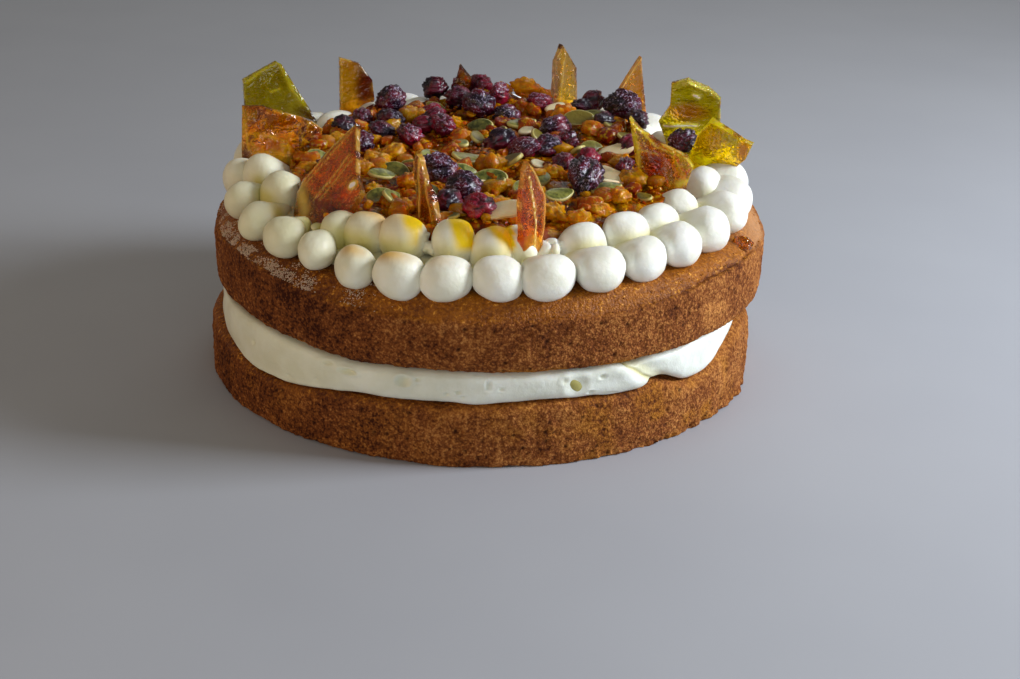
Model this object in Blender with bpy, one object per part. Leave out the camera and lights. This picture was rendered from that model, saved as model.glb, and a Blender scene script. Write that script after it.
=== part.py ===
"""Layered sponge cake: two sponges, a cream filling, a piped cream border, a fruit and seed heap
and upright pieces of clear brittle.

Metres, +Z up.  The origin is the centre of the underside, which rests on z = 0.
Angles are degrees, anticlockwise from +X seen from above, so the front of the cake is at 270.
"""
import math
import random

import bmesh
import bpy
from mathutils import Matrix, Vector
from mathutils.geometry import tessellate_polygon

# ---- driving dimensions --------------------------------------------------------------------
MM = 0.001
GAP = 0.0003                     # clearance between pieces that touch
SLOT = 0.0004                    # clearance round a piece of brittle in what it stands in

CAKE_RADIUS = 0.1150
SPONGE_SHIFT = 0.0011            # each sponge sits this far off centre, in opposite directions
SEGMENTS = 60                    # sides of a sponge
FILLING_LOW = 0.0248             # seam between the bottom sponge and the filling
FILLING_HIGH = 0.0388            # seam between the filling and the top sponge
CRUST_RIM = 0.0622               # where the side of the top sponge turns into its crust
CROWN = 0.0700                   # flat top of the top sponge, on the axis
CROWN_SLOPE = 0.03               # the top sponge is thicker at the back: rise of its top along +Y
DECK = CROWN + GAP               # underside of everything that lies on the cake

# Rises and dips of an edge, as (angle, width in degrees, height).
FILLING_LOW_BUMPS = (
    (226, 11, -0.0044), (285, 8, 0.0014), (308, 4, 0.0022), (319, 6, -0.0030), (341, 9, 0.0064),
    (20, 25, -0.0010), (75, 15, -0.0022), (120, 12, 0.0012), (160, 14, -0.0015),
)
FILLING_HIGH_BUMPS = ((213, 10, 0.0012), (245, 8, -0.0013), (328, 14, 0.0010), (100, 20, -0.0012))
CRUST_RIM_BUMPS = (
    (214, 16, 0.0036), (286, 4, 0.0012), (325, 15, 0.0042), (30, 25, 0.0018), (90, 30, 0.0010),
    (150, 25, 0.0020),
)
BOTTOM_RADIUS_BUMPS = ((330, 16, -0.0018), (230, 20, 0.0002), (100, 25, -0.0008))
FILLING_RADIUS_BUMPS = ((215, 18, -0.0018), (300, 25, 0.0006), (345, 12, -0.0016), (60, 30, -0.0010))

# ---- piped border --------------------------------------------------------------------------
BORDER_COUNT = 30                # dollops in each of the two rows
BORDER_START = 272.6             # angle of the first dollop
BORDER_WARP = 0.14               # how much closer the front dollops stand than the back ones
BORDER_TIGHT_ANGLE = 267.0
OUTER_ROW_RADIUS = 0.1020
OUTER_HALF = (0.0092, 0.0098, 0.0084)      # half length, half width and half height
OUTER_Z = 0.0768
INNER_ROW_RADIUS = 0.0865
INNER_HALF = (0.0084, 0.0090, 0.0112)
INNER_Z = 0.0790
BAND = (0.0835, 0.0975, 0.0770)  # inner radius, outer radius and top of the cream under both rows
SMEARED_DOLLOP = 25              # the inner dollop that was pressed flat
DOLLOP_SIDES = 7
# Sections of an outer dollop from its nose to its tail: place, width, height and drop, all in halves.
OUTER_SECTIONS = ((-0.72, 0.69, 0.69, 0.0), (-0.05, 1.0, 1.0, 0.0), (0.62, 0.82, 0.80, 0.05),
                  (1.20, 0.50, 0.45, 0.25))
OUTER_TAIL = (1.60, 0.40)
INNER_SECTIONS = ((-0.72, 0.69, 0.69, 0.0), (0.0, 1.0, 1.0, 0.0), (0.72, 0.69, 0.69, 0.0))
INNER_TAIL = (1.0, 0.0)

# ---- heap of fruit, seeds and glaze --------------------------------------------------------
HEAP_TOP = 0.0862                # mean height of the glaze that holds the heap
HEAP_BACK_RISE = 0.0040          # how much higher the heap is piled against the back of the border
HEAP_LIMIT = 0.0790              # largest radius of the glaze
HEAP_SITES = 118                 # places for a piece, spread by the golden angle
HEAP_SITE_RADIUS = 0.0725
GOLDEN_ANGLE = 137.508
KIND_SHARES = (("berry", 0.30), ("chunk", 0.54), ("seed", 0.90), ("flake", 1.0))
BACK_BERRY_SHARE = 0.46          # the back half holds more berries
BERRY_HALF = (0.0062, 0.0047, 0.0042)
CHUNK_HALF = (0.0048, 0.0036, 0.0033)
SEED_HALF = (0.0058, 0.0031, 0.0012)
FLAKE_HALF = (0.0050, 0.0030, 0.0007)
# Berries that stand out, as (angle, distance from the axis in mm, size).
FEATURE_BERRIES = ((220, 25, 1.35), (256, 38, 1.15), (257, 58, 1.1), (268, 70, 1.0), (326, 50, 1.55),
                   (120, 73, 1.5), (42, 72, 1.4))
SHARD_MARGIN = 0.0062            # no piece of the heap starts nearer to a foot of brittle

# ---- brittle: name, foot (x, y), heading, lean, thickness, crinkle, outline (along, up) ----
# All in millimetres and degrees.  The outline's zero height is BRITTLE_FOOT, before the slope.
BRITTLE_FOOT = 0.0790
BRITTLE = (
    ("brittle_olive", (-92, 46), 20, 0, 3.0, 0.5,
     ((-14, -5), (14, -5), (17, 6), (14, 12), (1.5, 33.5), (-1, 35), (-16, 28), (-15, 8))),
    ("brittle_crinkled", (-88, 7), 6, 8, 5.0, 1.2,
     ((-15, -5), (13, -5), (15, 2), (18.5, 9), (19, 16), (14.5, 19.5), (6, 22.5), (-6, 26),
      (-14.5, 26), (-15, 8))),
    ("brittle_ridged", (-77, -41), -50, 32, 3.4, 0.2,
     ((2, 6), (6, -3), (15, -5), (25, -4), (36, 8), (38, 17), (31, 22), (17, 40.5), (9, 28),
      (2, 12.5))),
    ("brittle_upright", (-60, 72), 15, 0, 3.0, 0.2,
     ((-8, -5), (4, -5), (8, 11), (7, 20), (1, 28), (-8, 31))),
    ("brittle_tip", (-12, 79), -15, 0, 3.0, 0.3,
     ((-6, -5), (4, -5), (2.5, 12), (4, 20.5), (-1.5, 26.5), (-3, 20), (-6, 11))),
    ("brittle_blade", (34, 77), 40, 0, 3.4, 0.2,
     ((-6, -5), (6, -5), (7.5, 9), (6.5, 26), (-2.5, 38), (-6.5, 31), (-7, 9))),
    ("brittle_spike", (66, 65), 25, 0, 3.0, 0.2,
     ((-6, -5), (6, -5), (5.5, 10), (1.5, 36), (-9.5, 21), (-7, 8))),
    ("brittle_green", (88, 32), -10, 0, 5.0, 1.0,
     ((-9, -5), (10, -5), (12.5, 6), (13, 18.5), (12.5, 28), (7, 32.5), (-2, 36), (-9, 33.5),
      (-9, 24), (-13.5, 16.5), (-10, 8))),
    ("brittle_yellow", (95, 12), -25, -10, 4.0, 0.6,
     ((-8, -5), (6, -5), (8.5, 1.5), (17, 10.5), (20, 18), (16, 19), (1.5, 26.5), (-4, 19),
      (-8, 8))),
    ("brittle_amber", (74, -22), -12, 0, 5.0, 0.8,
     ((-9, -5), (8, -5), (9, 8), (11, 15.5), (8, 19.5), (-2, 23.2), (-11, 28.5), (-16, 33.5),
      (-12.5, 15), (-9.5, 4))),
    ("brittle_thin_left", (-17, -75), -54, 0, 3.2, 0.2,
     ((-7, -5), (4, -5), (3.5, 2), (1, 9), (-2, 17), (-6.5, 22), (-10.3, 30), (-12.8, 31),
      (-15.5, 27.5), (-12.5, 9))),
    ("brittle_thin_right", (19, -87), 40, 0, 4.0, 0.2,
     ((-3, -5), (2, -5), (5, 2), (5.3, 22), (1, 30.5), (-3.3, 37), (-5.3, 34), (-6.7, 21.5),
      (-5.5, 6))),
)


# ---- small helpers -------------------------------------------------------------------------
def clear_scene():
    """Start from an empty scene."""
    for obj in list(bpy.data.objects):
        bpy.data.objects.remove(obj, do_unlink=True)


def bell(angle, centre, width):
    """Bell curve over an angle, 1 at its centre."""
    offset = (angle - centre + 180.0) % 360.0 - 180.0
    return math.exp(-0.5 * (offset / width) ** 2)


def bumps(angle, terms):
    """Sum of the rises and dips at an angle."""
    return sum(height * bell(angle, centre, width) for centre, width, height in terms)


def polar(angle, radius):
    """Point on the ground plane."""
    turn = math.radians(angle)
    return Vector((radius * math.cos(turn), radius * math.sin(turn), 0.0))


def new_material(name, colour, roughness, transmission=0.0):
    """Principled material of one finish."""
    material = bpy.data.materials.new(name)
    material.use_nodes = True
    shader = material.node_tree.nodes["Principled BSDF"]
    shader.inputs["Base Color"].default_value = (*colour, 1.0)
    shader.inputs["Roughness"].default_value = roughness
    shader.inputs["Transmission Weight"].default_value = transmission
    material.diffuse_color = (*colour, 1.0)
    return material


def new_object(name, vertices, faces, material=None):
    """Mesh object from points and faces."""
    mesh = bpy.data.meshes.new(name)
    mesh.from_pydata([tuple(point) for point in vertices], [], faces)
    mesh.validate()
    obj = bpy.data.objects.new(name, mesh)
    bpy.context.scene.collection.objects.link(obj)
    if material:
        mesh.materials.append(material)
    return obj


def apply_modifiers(obj):
    """Replace an object's mesh by its evaluated one."""
    bpy.context.view_layer.update()
    evaluated = obj.evaluated_get(bpy.context.evaluated_depsgraph_get())
    mesh = bpy.data.meshes.new_from_object(evaluated)
    obj.modifiers.clear()
    obj.data = mesh


def combine(obj, tools, operation):
    """One Boolean between an object and many tool objects, which are then removed."""
    group = bpy.data.collections.new("boolean_tools")
    bpy.context.scene.collection.children.link(group)
    for tool in tools:
        bpy.context.scene.collection.objects.unlink(tool)
        group.objects.link(tool)
    modifier = obj.modifiers.new("Combine", "BOOLEAN")
    modifier.operation = operation
    modifier.operand_type = "COLLECTION"
    modifier.collection = group
    modifier.solver = "MANIFOLD"
    apply_modifiers(obj)
    for tool in tools:
        bpy.data.objects.remove(tool, do_unlink=True)
    bpy.data.collections.remove(group)


def settle(obj):
    """Lay what was made on a level deck on the sloping crown."""
    shear = Matrix.Identity(4)
    shear[2][1] = CROWN_SLOPE
    obj.data.transform(shear)


def keep_largest_shell(obj):
    """Drop loose scraps and sealed hollows, so that one closed body stays."""
    work = bmesh.new()
    work.from_mesh(obj.data)
    unseen = set(work.faces)
    shells = []
    while unseen:
        stack = [unseen.pop()]
        shell = []
        while stack:
            face = stack.pop()
            shell.append(face)
            near = {other for edge in face.edges for other in edge.link_faces} & unseen
            unseen -= near
            stack.extend(near)
        shells.append(shell)
    shells.sort(key=len, reverse=True)
    scraps = [face for shell in shells[1:] for face in shell]
    bmesh.ops.delete(work, geom=scraps, context="FACES")
    loose = [vertex for vertex in work.verts if not vertex.link_faces]
    bmesh.ops.delete(work, geom=loose, context="VERTS")
    work.to_mesh(obj.data)
    work.free()


# ---- sponges and filling -------------------------------------------------------------------
def turned_layer(name, low, rings, high, material):
    """Closed turned body from rings that map an angle to a radius and a height."""
    points = [Vector((0.0, 0.0, low))]
    for ring in rings:
        for step in range(SEGMENTS):
            angle = 360.0 * step / SEGMENTS
            radius, height = ring(angle)
            points.append(polar(angle, radius) + Vector((0.0, 0.0, height)))
    points.append(Vector((0.0, 0.0, high)))
    last = len(points) - 1
    faces = []
    for step in range(SEGMENTS):
        after = (step + 1) % SEGMENTS
        faces.append((0, 1 + after, 1 + step))
        for level in range(len(rings) - 1):
            base = 1 + level * SEGMENTS
            ahead = base + SEGMENTS
            # The diagonal starts on the inner ring, so two layers that meet split their faces alike.
            if rings[level](0.0)[0] < rings[level + 1](0.0)[0]:
                faces.append((base + step, base + after, ahead + after))
                faces.append((base + step, ahead + after, ahead + step))
            else:
                faces.append((base + step, base + after, ahead + step))
                faces.append((base + after, ahead + after, ahead + step))
        base = last - SEGMENTS
        faces.append((last, base + step, base + after))
    return new_object(name, points, faces, material)


def shifted(angle):
    """How far a sponge that sits off centre reaches further out at an angle."""
    return SPONGE_SHIFT * math.cos(math.radians(angle))


def filling_low(angle):
    """Height of the lower seam at the edge."""
    return FILLING_LOW + bumps(angle, FILLING_LOW_BUMPS)


def filling_high(angle):
    """Height of the upper seam at the edge."""
    return FILLING_HIGH + bumps(angle, FILLING_HIGH_BUMPS)


def slope_rise(angle, radius):
    """Rise of the sloping top at a place."""
    return CROWN_SLOPE * radius * math.sin(math.radians(angle))


def crust_rim(angle):
    """Height at which the top sponge's side ends."""
    return CRUST_RIM + bumps(angle, CRUST_RIM_BUMPS) + slope_rise(angle, CAKE_RADIUS)


def crown_height(angle, radius):
    """Height of the sloping crown."""
    return CROWN + slope_rise(angle, radius)


def build_bottom_sponge(material):
    """Lower sponge: straight baked side, small rounded edges, underside flat on the table."""
    def radius(angle, inset=0.0):
        return CAKE_RADIUS + bumps(angle, BOTTOM_RADIUS_BUMPS) - shifted(angle) - inset

    rings = (
        lambda a: (radius(a, 0.0032), 0.0),
        lambda a: (radius(a, 0.0010), 0.0012),
        lambda a: (radius(a, 0.0001), 0.0050),
        lambda a: (radius(a), 0.5 * filling_low(a)),
        lambda a: (radius(a, 0.0004), filling_low(a) - 0.0034),
        lambda a: (radius(a, 0.0026), filling_low(a) - 0.0006),
        lambda a: (0.1090, filling_low(a)),
        lambda a: (0.0900, FILLING_LOW),
    )
    return turned_layer("sponge_bottom", 0.0, rings, FILLING_LOW, material)


def build_filling(material):
    """Cream between the sponges, with a soft bulging side."""
    def radius(angle, inset=0.0):
        return CAKE_RADIUS - 0.0008 + bumps(angle, FILLING_RADIUS_BUMPS) - inset

    rings = (
        lambda a: (0.0900, FILLING_LOW + GAP),
        lambda a: (0.1090, filling_low(a) + GAP),
        lambda a: (radius(a, 0.0022), filling_low(a) + GAP + 0.0004),
        lambda a: (radius(a, 0.0003), filling_low(a) + 0.0032),
        lambda a: (radius(a), 0.5 * (filling_low(a) + filling_high(a))),
        lambda a: (radius(a, 0.0008), filling_high(a) - 0.0022),
        lambda a: (0.1090, filling_high(a) - GAP),
        lambda a: (0.0900, FILLING_HIGH - GAP),
    )
    return turned_layer("cream_filling", FILLING_LOW + GAP, rings, FILLING_HIGH - GAP, material)


def build_top_sponge(material):
    """Upper sponge: side, a crease, and a crust that rolls in to the flat crown."""
    def radius(angle, inset=0.0):
        return CAKE_RADIUS + shifted(angle) - inset

    rings = (
        lambda a: (0.0900, FILLING_HIGH),
        lambda a: (0.1090, filling_high(a)),
        lambda a: (radius(a, 0.0016), filling_high(a) + 0.0006),
        lambda a: (radius(a, 0.0001), filling_high(a) + 0.0036),
        lambda a: (radius(a, -0.0002), 0.5 * (filling_high(a) + crust_rim(a))),
        lambda a: (radius(a, -0.0001), crust_rim(a) - 0.0012),
        lambda a: (radius(a, 0.0014), crust_rim(a) + 0.0006),
        lambda a: (radius(a, 0.0038), 0.45 * crust_rim(a) + 0.55 * crown_height(a, CAKE_RADIUS)),
        lambda a: (radius(a, 0.0082), crown_height(a, radius(a, 0.0082))),
    )
    return turned_layer("sponge_top", FILLING_HIGH, rings, CROWN, material)


# ---- piped border --------------------------------------------------------------------------
def border_angles():
    """Angles of the dollops, closest together at the front."""
    angles = []
    angle = BORDER_START
    mean = 360.0 / BORDER_COUNT
    for _ in range(BORDER_COUNT):
        angles.append(angle % 360.0)
        angle += mean * (1.0 - BORDER_WARP * math.cos(math.radians(angle - BORDER_TIGHT_ANGLE)))
    spread = angle - BORDER_START
    return [(BORDER_START + (a - BORDER_START) % 360.0 * 360.0 / spread) % 360.0 for a in angles]


def dollops():
    """Every dollop as (row, angle, radius, half sizes, height of its centre)."""
    draw = random.Random(7)
    result = []
    for index, angle in enumerate(border_angles()):
        for row, radius, half, height in (("outer", OUTER_ROW_RADIUS, OUTER_HALF, OUTER_Z),
                                          ("inner", INNER_ROW_RADIUS, INNER_HALF, INNER_Z)):
            scale = draw.uniform(0.95, 1.05)
            place = radius + draw.uniform(-0.0008, 0.0008)
            turn = angle + draw.uniform(-0.9, 0.9)
            lift = draw.uniform(-0.0006, 0.0006)
            if row == "inner" and index == SMEARED_DOLLOP:
                half = (half[0], half[1], 0.60 * half[2])
                lift = -0.0050
            result.append((row, turn, place, tuple(scale * size for size in half), height + lift))
    return result


def dollop_object(dollop):
    """Teardrop of cream whose tail points to the cake's axis."""
    row, angle, radius, half, height = dollop
    sections = OUTER_SECTIONS if row == "outer" else INNER_SECTIONS
    tail_place, tail_drop = OUTER_TAIL if row == "outer" else INNER_TAIL
    points = [Vector((-half[0], 0.0, 0.0))]
    for place, width, tall, drop in sections:
        for side in range(DOLLOP_SIDES):
            turn = 2.0 * math.pi * (side + 0.5) / DOLLOP_SIDES
            across = half[1] * width * math.cos(turn)
            up = half[2] * (tall * math.sin(turn) - drop)
            points.append(Vector((half[0] * place, across, up)))
    points.append(Vector((half[0] * tail_place, 0.0, -half[2] * tail_drop)))
    last = len(points) - 1
    faces = []
    for side in range(DOLLOP_SIDES):
        after = (side + 1) % DOLLOP_SIDES
        faces.append((0, 1 + after, 1 + side))
        for level in range(len(sections) - 1):
            base = 1 + level * DOLLOP_SIDES
            ahead = base + DOLLOP_SIDES
            faces.append((base + side, base + after, ahead + after, ahead + side))
        base = last - DOLLOP_SIDES
        faces.append((last, base + side, base + after))
    inward = Matrix.Rotation(math.radians(angle + 180.0), 4, "Z")
    centre = polar(angle, radius) + Vector((0.0, 0.0, height))
    return new_object("dollop", [inward @ point + centre for point in points], faces)


def disc_object(radius, low, high, sides=30):
    """Plain upright cylinder."""
    points = [polar(360.0 * s / sides, radius) + Vector((0.0, 0.0, z)) for z in (low, high)
              for s in range(sides)]
    faces = [tuple(reversed(range(sides))), tuple(range(sides, 2 * sides))]
    for side in range(sides):
        after = (side + 1) % sides
        faces.append((side, after, sides + after, sides + side))
    return new_object("disc", points, faces)


def band_object(inner, outer, low, high, sides=BORDER_COUNT):
    """Flat ring of rectangular section."""
    section = ((inner, low), (outer, low), (outer, high), (inner, high))
    points = [polar(360.0 * side / sides, radius) + Vector((0.0, 0.0, z))
              for side in range(sides) for radius, z in section]
    faces = []
    for side in range(sides):
        here = 4 * side
        ahead = 4 * ((side + 1) % sides)
        for corner in range(4):
            after = (corner + 1) % 4
            faces.append((here + corner, ahead + corner, ahead + after, here + after))
    return new_object("band", points, faces)


def build_border(shapes, material):
    """Two rows of dollops fused into one ring, cut flat where it lies on the crust."""
    bodies = [dollop_object(shape) for shape in shapes]
    border = bodies[0]
    border.name = "cream_border"
    bodies.append(band_object(BAND[0], BAND[1], DECK - 0.001, BAND[2]))
    combine(border, bodies[1:], "UNION")
    combine(border, [disc_object(0.13, DECK - 0.02, DECK)] + brittle_cutters(), "DIFFERENCE")
    keep_largest_shell(border)
    settle(border)
    border.data.materials.clear()
    border.data.materials.append(material)
    return border


# ---- heap ----------------------------------------------------------------------------------
def heap_radius(angle, shapes):
    """Radius of the glaze at an angle: it stops short of the inner dollops."""
    limit = HEAP_LIMIT
    for row, place, radius, half, _ in shapes:
        if row != "inner":
            continue
        clear = max(half[0], half[1]) + 2.0 * GAP
        apart = abs((angle - place + 180.0) % 360.0 - 180.0)
        turn = math.radians(max(0.0, apart - 180.0 / SEGMENTS))
        across = radius * math.sin(turn)
        if across < clear and turn < 1.0:
            limit = min(limit, radius * math.cos(turn) - math.sqrt(clear ** 2 - across ** 2))
    return limit


def heap_height(x, y):
    """Height of the glaze, gently uneven and piled up at the back."""
    ripple = math.sin(95.0 * x + 1.0) * math.cos(80.0 * y) + 0.6 * math.sin(170.0 * (x + y))
    return HEAP_TOP + 0.0011 * ripple + HEAP_BACK_RISE * max(0.0, y) / HEAP_LIMIT


def build_heap_core(shapes):
    """Glaze that fills the ring, as a disc with an uneven top and a scalloped side."""
    sides = SEGMENTS
    fractions = (1.0, 0.66, 0.33)
    points = [Vector((0.0, 0.0, DECK))]
    edge = [heap_radius(360.0 * side / sides, shapes) for side in range(sides)]
    points += [polar(360.0 * side / sides, edge[side]) + Vector((0.0, 0.0, DECK)) for side in range(sides)]
    for level, fraction in enumerate(fractions):
        for side in range(sides):
            spot = polar(360.0 * side / sides, edge[side] * fraction)
            sink = 0.0016 if level == 0 else 0.0
            points.append(spot + Vector((0.0, 0.0, heap_height(spot.x, spot.y) - sink)))
    points.append(Vector((0.0, 0.0, heap_height(0.0, 0.0))))
    last = len(points) - 1
    faces = []
    for side in range(sides):
        after = (side + 1) % sides
        faces.append((0, 1 + after, 1 + side))
        for level in range(len(fractions)):
            base = 1 + level * sides
            faces.append((base + side, base + after, base + sides + after, base + sides + side))
        base = last - sides
        faces.append((last, base + side, base + after))
    return new_object("topping_heap", points, faces)


def foot_distance(spot):
    """Distance from a spot to the nearest foot of brittle."""
    nearest = CAKE_RADIUS
    for _, foot, heading, _, _, _, outline in BRITTLE:
        along = polar(heading, 1.0)
        base = Vector((foot[0] * MM, foot[1] * MM, 0.0))
        reach = [point[0] * MM for point in outline if point[1] < 6.0]
        slide = max(min(reach), min(max(reach), (spot - base).dot(along)))
        nearest = min(nearest, (spot - base - along * slide).length)
    return nearest


def heap_pieces(shapes):
    """Pieces of the heap as (kind, spot, size, turn), spread by the golden angle."""
    draw = random.Random(21)
    features = []
    for angle, distance, size in FEATURE_BERRIES:
        limit = heap_radius(angle, shapes) - 1.1 * size * BERRY_HALF[0]
        spot = polar(angle, min(distance * MM, limit))
        features.append(("berry", spot, size, draw.uniform(0.0, 180.0)))
    pieces = [feature for feature in features if foot_distance(feature[1]) > SHARD_MARGIN]
    for site in range(HEAP_SITES):
        angle = site * GOLDEN_ANGLE % 360.0
        spot = polar(angle, HEAP_SITE_RADIUS * math.sqrt((site + 0.5) / HEAP_SITES))
        pick = draw.random()
        size = draw.uniform(0.85, 1.15)
        turn = draw.uniform(0.0, 180.0)
        kind = next(name for name, share in KIND_SHARES if pick <= share)
        if spot.y > 0.0 and pick < BACK_BERRY_SHARE:
            kind = "berry"
        room = heap_radius(angle, shapes) - spot.length
        crowded = any((spot - other[1]).length < 0.0080 for other in features)
        if not crowded and room > 0.0082 and foot_distance(spot) > SHARD_MARGIN:
            pieces.append((kind, spot, size, turn))
    return pieces


def ball_object(half, sides, levels):
    """Closed faceted ball with half sizes along its axes."""
    points = [Vector((0.0, 0.0, -half[2]))]
    for level in range(1, levels):
        tilt = math.pi * level / levels
        for side in range(sides):
            turn = 2.0 * math.pi * side / sides
            ring = math.sin(tilt)
            points.append(Vector((half[0] * ring * math.cos(turn), half[1] * ring * math.sin(turn),
                                  -half[2] * math.cos(tilt))))
    points.append(Vector((0.0, 0.0, half[2])))
    last = len(points) - 1
    faces = []
    for side in range(sides):
        after = (side + 1) % sides
        faces.append((0, 1 + after, 1 + side))
        for level in range(levels - 2):
            base = 1 + level * sides
            faces.append((base + side, base + after, base + sides + after, base + sides + side))
        base = last - sides
        faces.append((last, base + side, base + after))
    return new_object("ball", points, faces)


def chip_object(half, taper):
    """Block with a smaller top, for a cube of candied fruit or a flake."""
    corners = ((-1, -1), (1, -1), (1, 1), (-1, 1))
    points = [Vector((half[0] * x, half[1] * y, -half[2])) for x, y in corners]
    points += [Vector((half[0] * x * taper, half[1] * y * taper, half[2])) for x, y in corners]
    faces = [(3, 2, 1, 0), (4, 5, 6, 7), (0, 1, 5, 4), (1, 2, 6, 5), (2, 3, 7, 6), (3, 0, 4, 7)]
    return new_object("chip", points, faces)


def heap_piece_object(piece, draw):
    """One small piece, half sunk in the glaze."""
    kind, spot, size, turn = piece
    if kind == "berry":
        obj = ball_object([size * h for h in BERRY_HALF], 7, 3)
        rise = 0.62 * size * BERRY_HALF[2]
    elif kind == "chunk":
        obj = chip_object([size * h for h in CHUNK_HALF], 0.72)
        rise = 0.45 * size * CHUNK_HALF[2]
    elif kind == "seed":
        obj = ball_object([size * h for h in SEED_HALF], 6, 3)
        rise = 0.0002
    else:
        obj = chip_object([size * h for h in FLAKE_HALF], 0.8)
        rise = 0.0006
    lean = Matrix.Rotation(math.radians(draw.uniform(-14.0, 14.0)), 4, "X")
    pose = Matrix.Rotation(math.radians(turn), 4, "Z") @ lean
    centre = spot + Vector((0.0, 0.0, heap_height(spot.x, spot.y) + rise))
    obj.data.transform(Matrix.Translation(centre) @ pose)
    return obj


def build_heap(shapes, material):
    """Glaze with fruit, seeds and flakes fused on, slotted where brittle stands in it."""
    heap = build_heap_core(shapes)
    draw = random.Random(33)
    bodies = [heap_piece_object(piece, draw) for piece in heap_pieces(shapes)]
    combine(heap, bodies, "UNION")
    combine(heap, brittle_cutters(), "DIFFERENCE")
    keep_largest_shell(heap)
    settle(heap)
    heap.data.materials.clear()
    heap.data.materials.append(material)
    return heap


# ---- brittle -------------------------------------------------------------------------------
def offset_outline(outline, distance):
    """Outline moved outwards by a distance, with mitred corners."""
    moved = []
    for index, point in enumerate(outline):
        before = (point - outline[index - 1]).normalized()
        after = (outline[(index + 1) % len(outline)] - point).normalized()
        out_before = Vector((before.y, -before.x))
        out_after = Vector((after.y, -after.x))
        middle = (out_before + out_after).normalized()
        moved.append(point + middle * distance / max(0.5, middle.dot(out_before)))
    return moved


def brittle_object(spec, grow, material=None):
    """Slab of clear brittle on its foot, or the cutter for its slot where it is grown."""
    name, foot, heading, lean, thickness, crinkle, outline = spec
    flat = [Vector((along * MM, up * MM)) for along, up in outline]
    if sum(a.x * b.y - a.y * b.x for a, b in zip(flat, flat[1:] + flat[:1])) < 0.0:
        flat.reverse()
    # The slot's cutter splits its faces as the slab does, so that the clearance is even.
    front = tessellate_polygon([[corner.to_3d() for corner in flat]])
    flat = offset_outline(flat, grow)
    half = 0.5 * thickness * MM + grow
    count = len(flat)
    points = []
    for side in (-half, half):
        for index, point in enumerate(flat):
            wave = crinkle * MM * math.sin(2.4 * index)
            points.append(Vector((point.x, side + wave, point.y)))
    faces = []
    for a, b, c in front:
        turn = (flat[b] - flat[a]).cross(flat[c] - flat[a])
        ordered = (a, b, c) if turn > 0.0 else (a, c, b)
        faces.append(ordered)
        faces.append(tuple(count + corner for corner in reversed(ordered)))
    for index in range(count):
        after = (index + 1) % count
        faces.append((after, index, count + index))
        faces.append((after, count + index, count + after))
    obj = new_object(name, points, faces, material)
    tilt = Matrix.Rotation(math.radians(-lean), 4, "X")
    pose = Matrix.Rotation(math.radians(heading), 4, "Z") @ tilt
    obj.data.transform(Matrix.Translation((foot[0] * MM, foot[1] * MM, BRITTLE_FOOT)) @ pose)
    return obj


def brittle_cutters():
    """A slightly larger copy of each slab of brittle."""
    return [brittle_object(spec, SLOT) for spec in BRITTLE]


def build_brittle(materials):
    """Every slab of brittle, each in its own tint."""
    for spec, material in zip(BRITTLE, materials):
        settle(brittle_object(spec, 0.0, material))


# ---- materials and assembly ----------------------------------------------------------------
def brittle_materials():
    """Clear sugar in tints from olive to amber."""
    tints = ((0.35, 0.30, 0.02), (0.60, 0.20, 0.02), (0.45, 0.12, 0.02), (0.50, 0.20, 0.03),
             (0.60, 0.22, 0.04), (0.55, 0.30, 0.06), (0.70, 0.32, 0.04), (0.38, 0.34, 0.03),
             (0.80, 0.55, 0.03), (0.70, 0.25, 0.02), (0.45, 0.13, 0.02), (0.65, 0.16, 0.03))
    return [new_material(spec[0], tint, 0.08, 0.6) for spec, tint in zip(BRITTLE, tints)]


def main():
    """Build every node."""
    clear_scene()
    crumb = new_material("sponge_crumb", (0.30, 0.12, 0.035), 0.9)
    crust = new_material("sponge_crust", (0.34, 0.14, 0.04), 0.8)
    filling = new_material("filling_cream", (0.86, 0.80, 0.62), 0.5)
    piping = new_material("piped_cream", (0.90, 0.87, 0.74), 0.45)
    glaze = new_material("fruit_glaze", (0.42, 0.12, 0.03), 0.3)
    build_bottom_sponge(crumb)
    build_filling(filling)
    build_top_sponge(crust)
    shapes = dollops()
    build_border(shapes, piping)
    build_heap(shapes, glaze)
    build_brittle(brittle_materials())


main()
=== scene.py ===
"""Looks of the layered sponge cake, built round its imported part.

Metres, +Z up, in the part's own frame.  Angles are degrees, anticlockwise from +X seen from above,
so the front of the cake is at 270.  What lies on the cake is made on a level deck and then sheared
up towards the back, as the part's border and heap are.
"""

import itertools
import math
import random

import bpy
import numpy as np
from mathutils import Matrix, Vector
from mathutils.geometry import delaunay_2d_cdt

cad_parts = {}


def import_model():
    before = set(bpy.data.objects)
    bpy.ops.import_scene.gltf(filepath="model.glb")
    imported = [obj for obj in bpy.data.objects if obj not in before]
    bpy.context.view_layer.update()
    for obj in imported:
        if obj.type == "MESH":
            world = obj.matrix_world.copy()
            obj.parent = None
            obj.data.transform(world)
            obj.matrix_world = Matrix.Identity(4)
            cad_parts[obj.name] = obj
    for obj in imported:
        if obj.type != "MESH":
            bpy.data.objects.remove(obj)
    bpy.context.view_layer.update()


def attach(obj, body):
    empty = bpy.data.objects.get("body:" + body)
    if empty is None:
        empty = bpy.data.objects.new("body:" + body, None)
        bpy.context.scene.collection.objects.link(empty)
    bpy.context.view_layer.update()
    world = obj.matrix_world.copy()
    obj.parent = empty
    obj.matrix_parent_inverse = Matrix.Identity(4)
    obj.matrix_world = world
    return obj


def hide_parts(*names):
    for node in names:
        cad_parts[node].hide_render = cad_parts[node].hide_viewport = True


MM = 0.001

# ---- sizes shared with the part ----
GAP = 0.0003
CAKE_RADIUS = 0.1150
FILLING_LOW = 0.0248
FILLING_HIGH = 0.0388
CRUST_RIM = 0.0622
CROWN = 0.0700
CROWN_SLOPE = 0.03
DECK = CROWN + GAP
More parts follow.
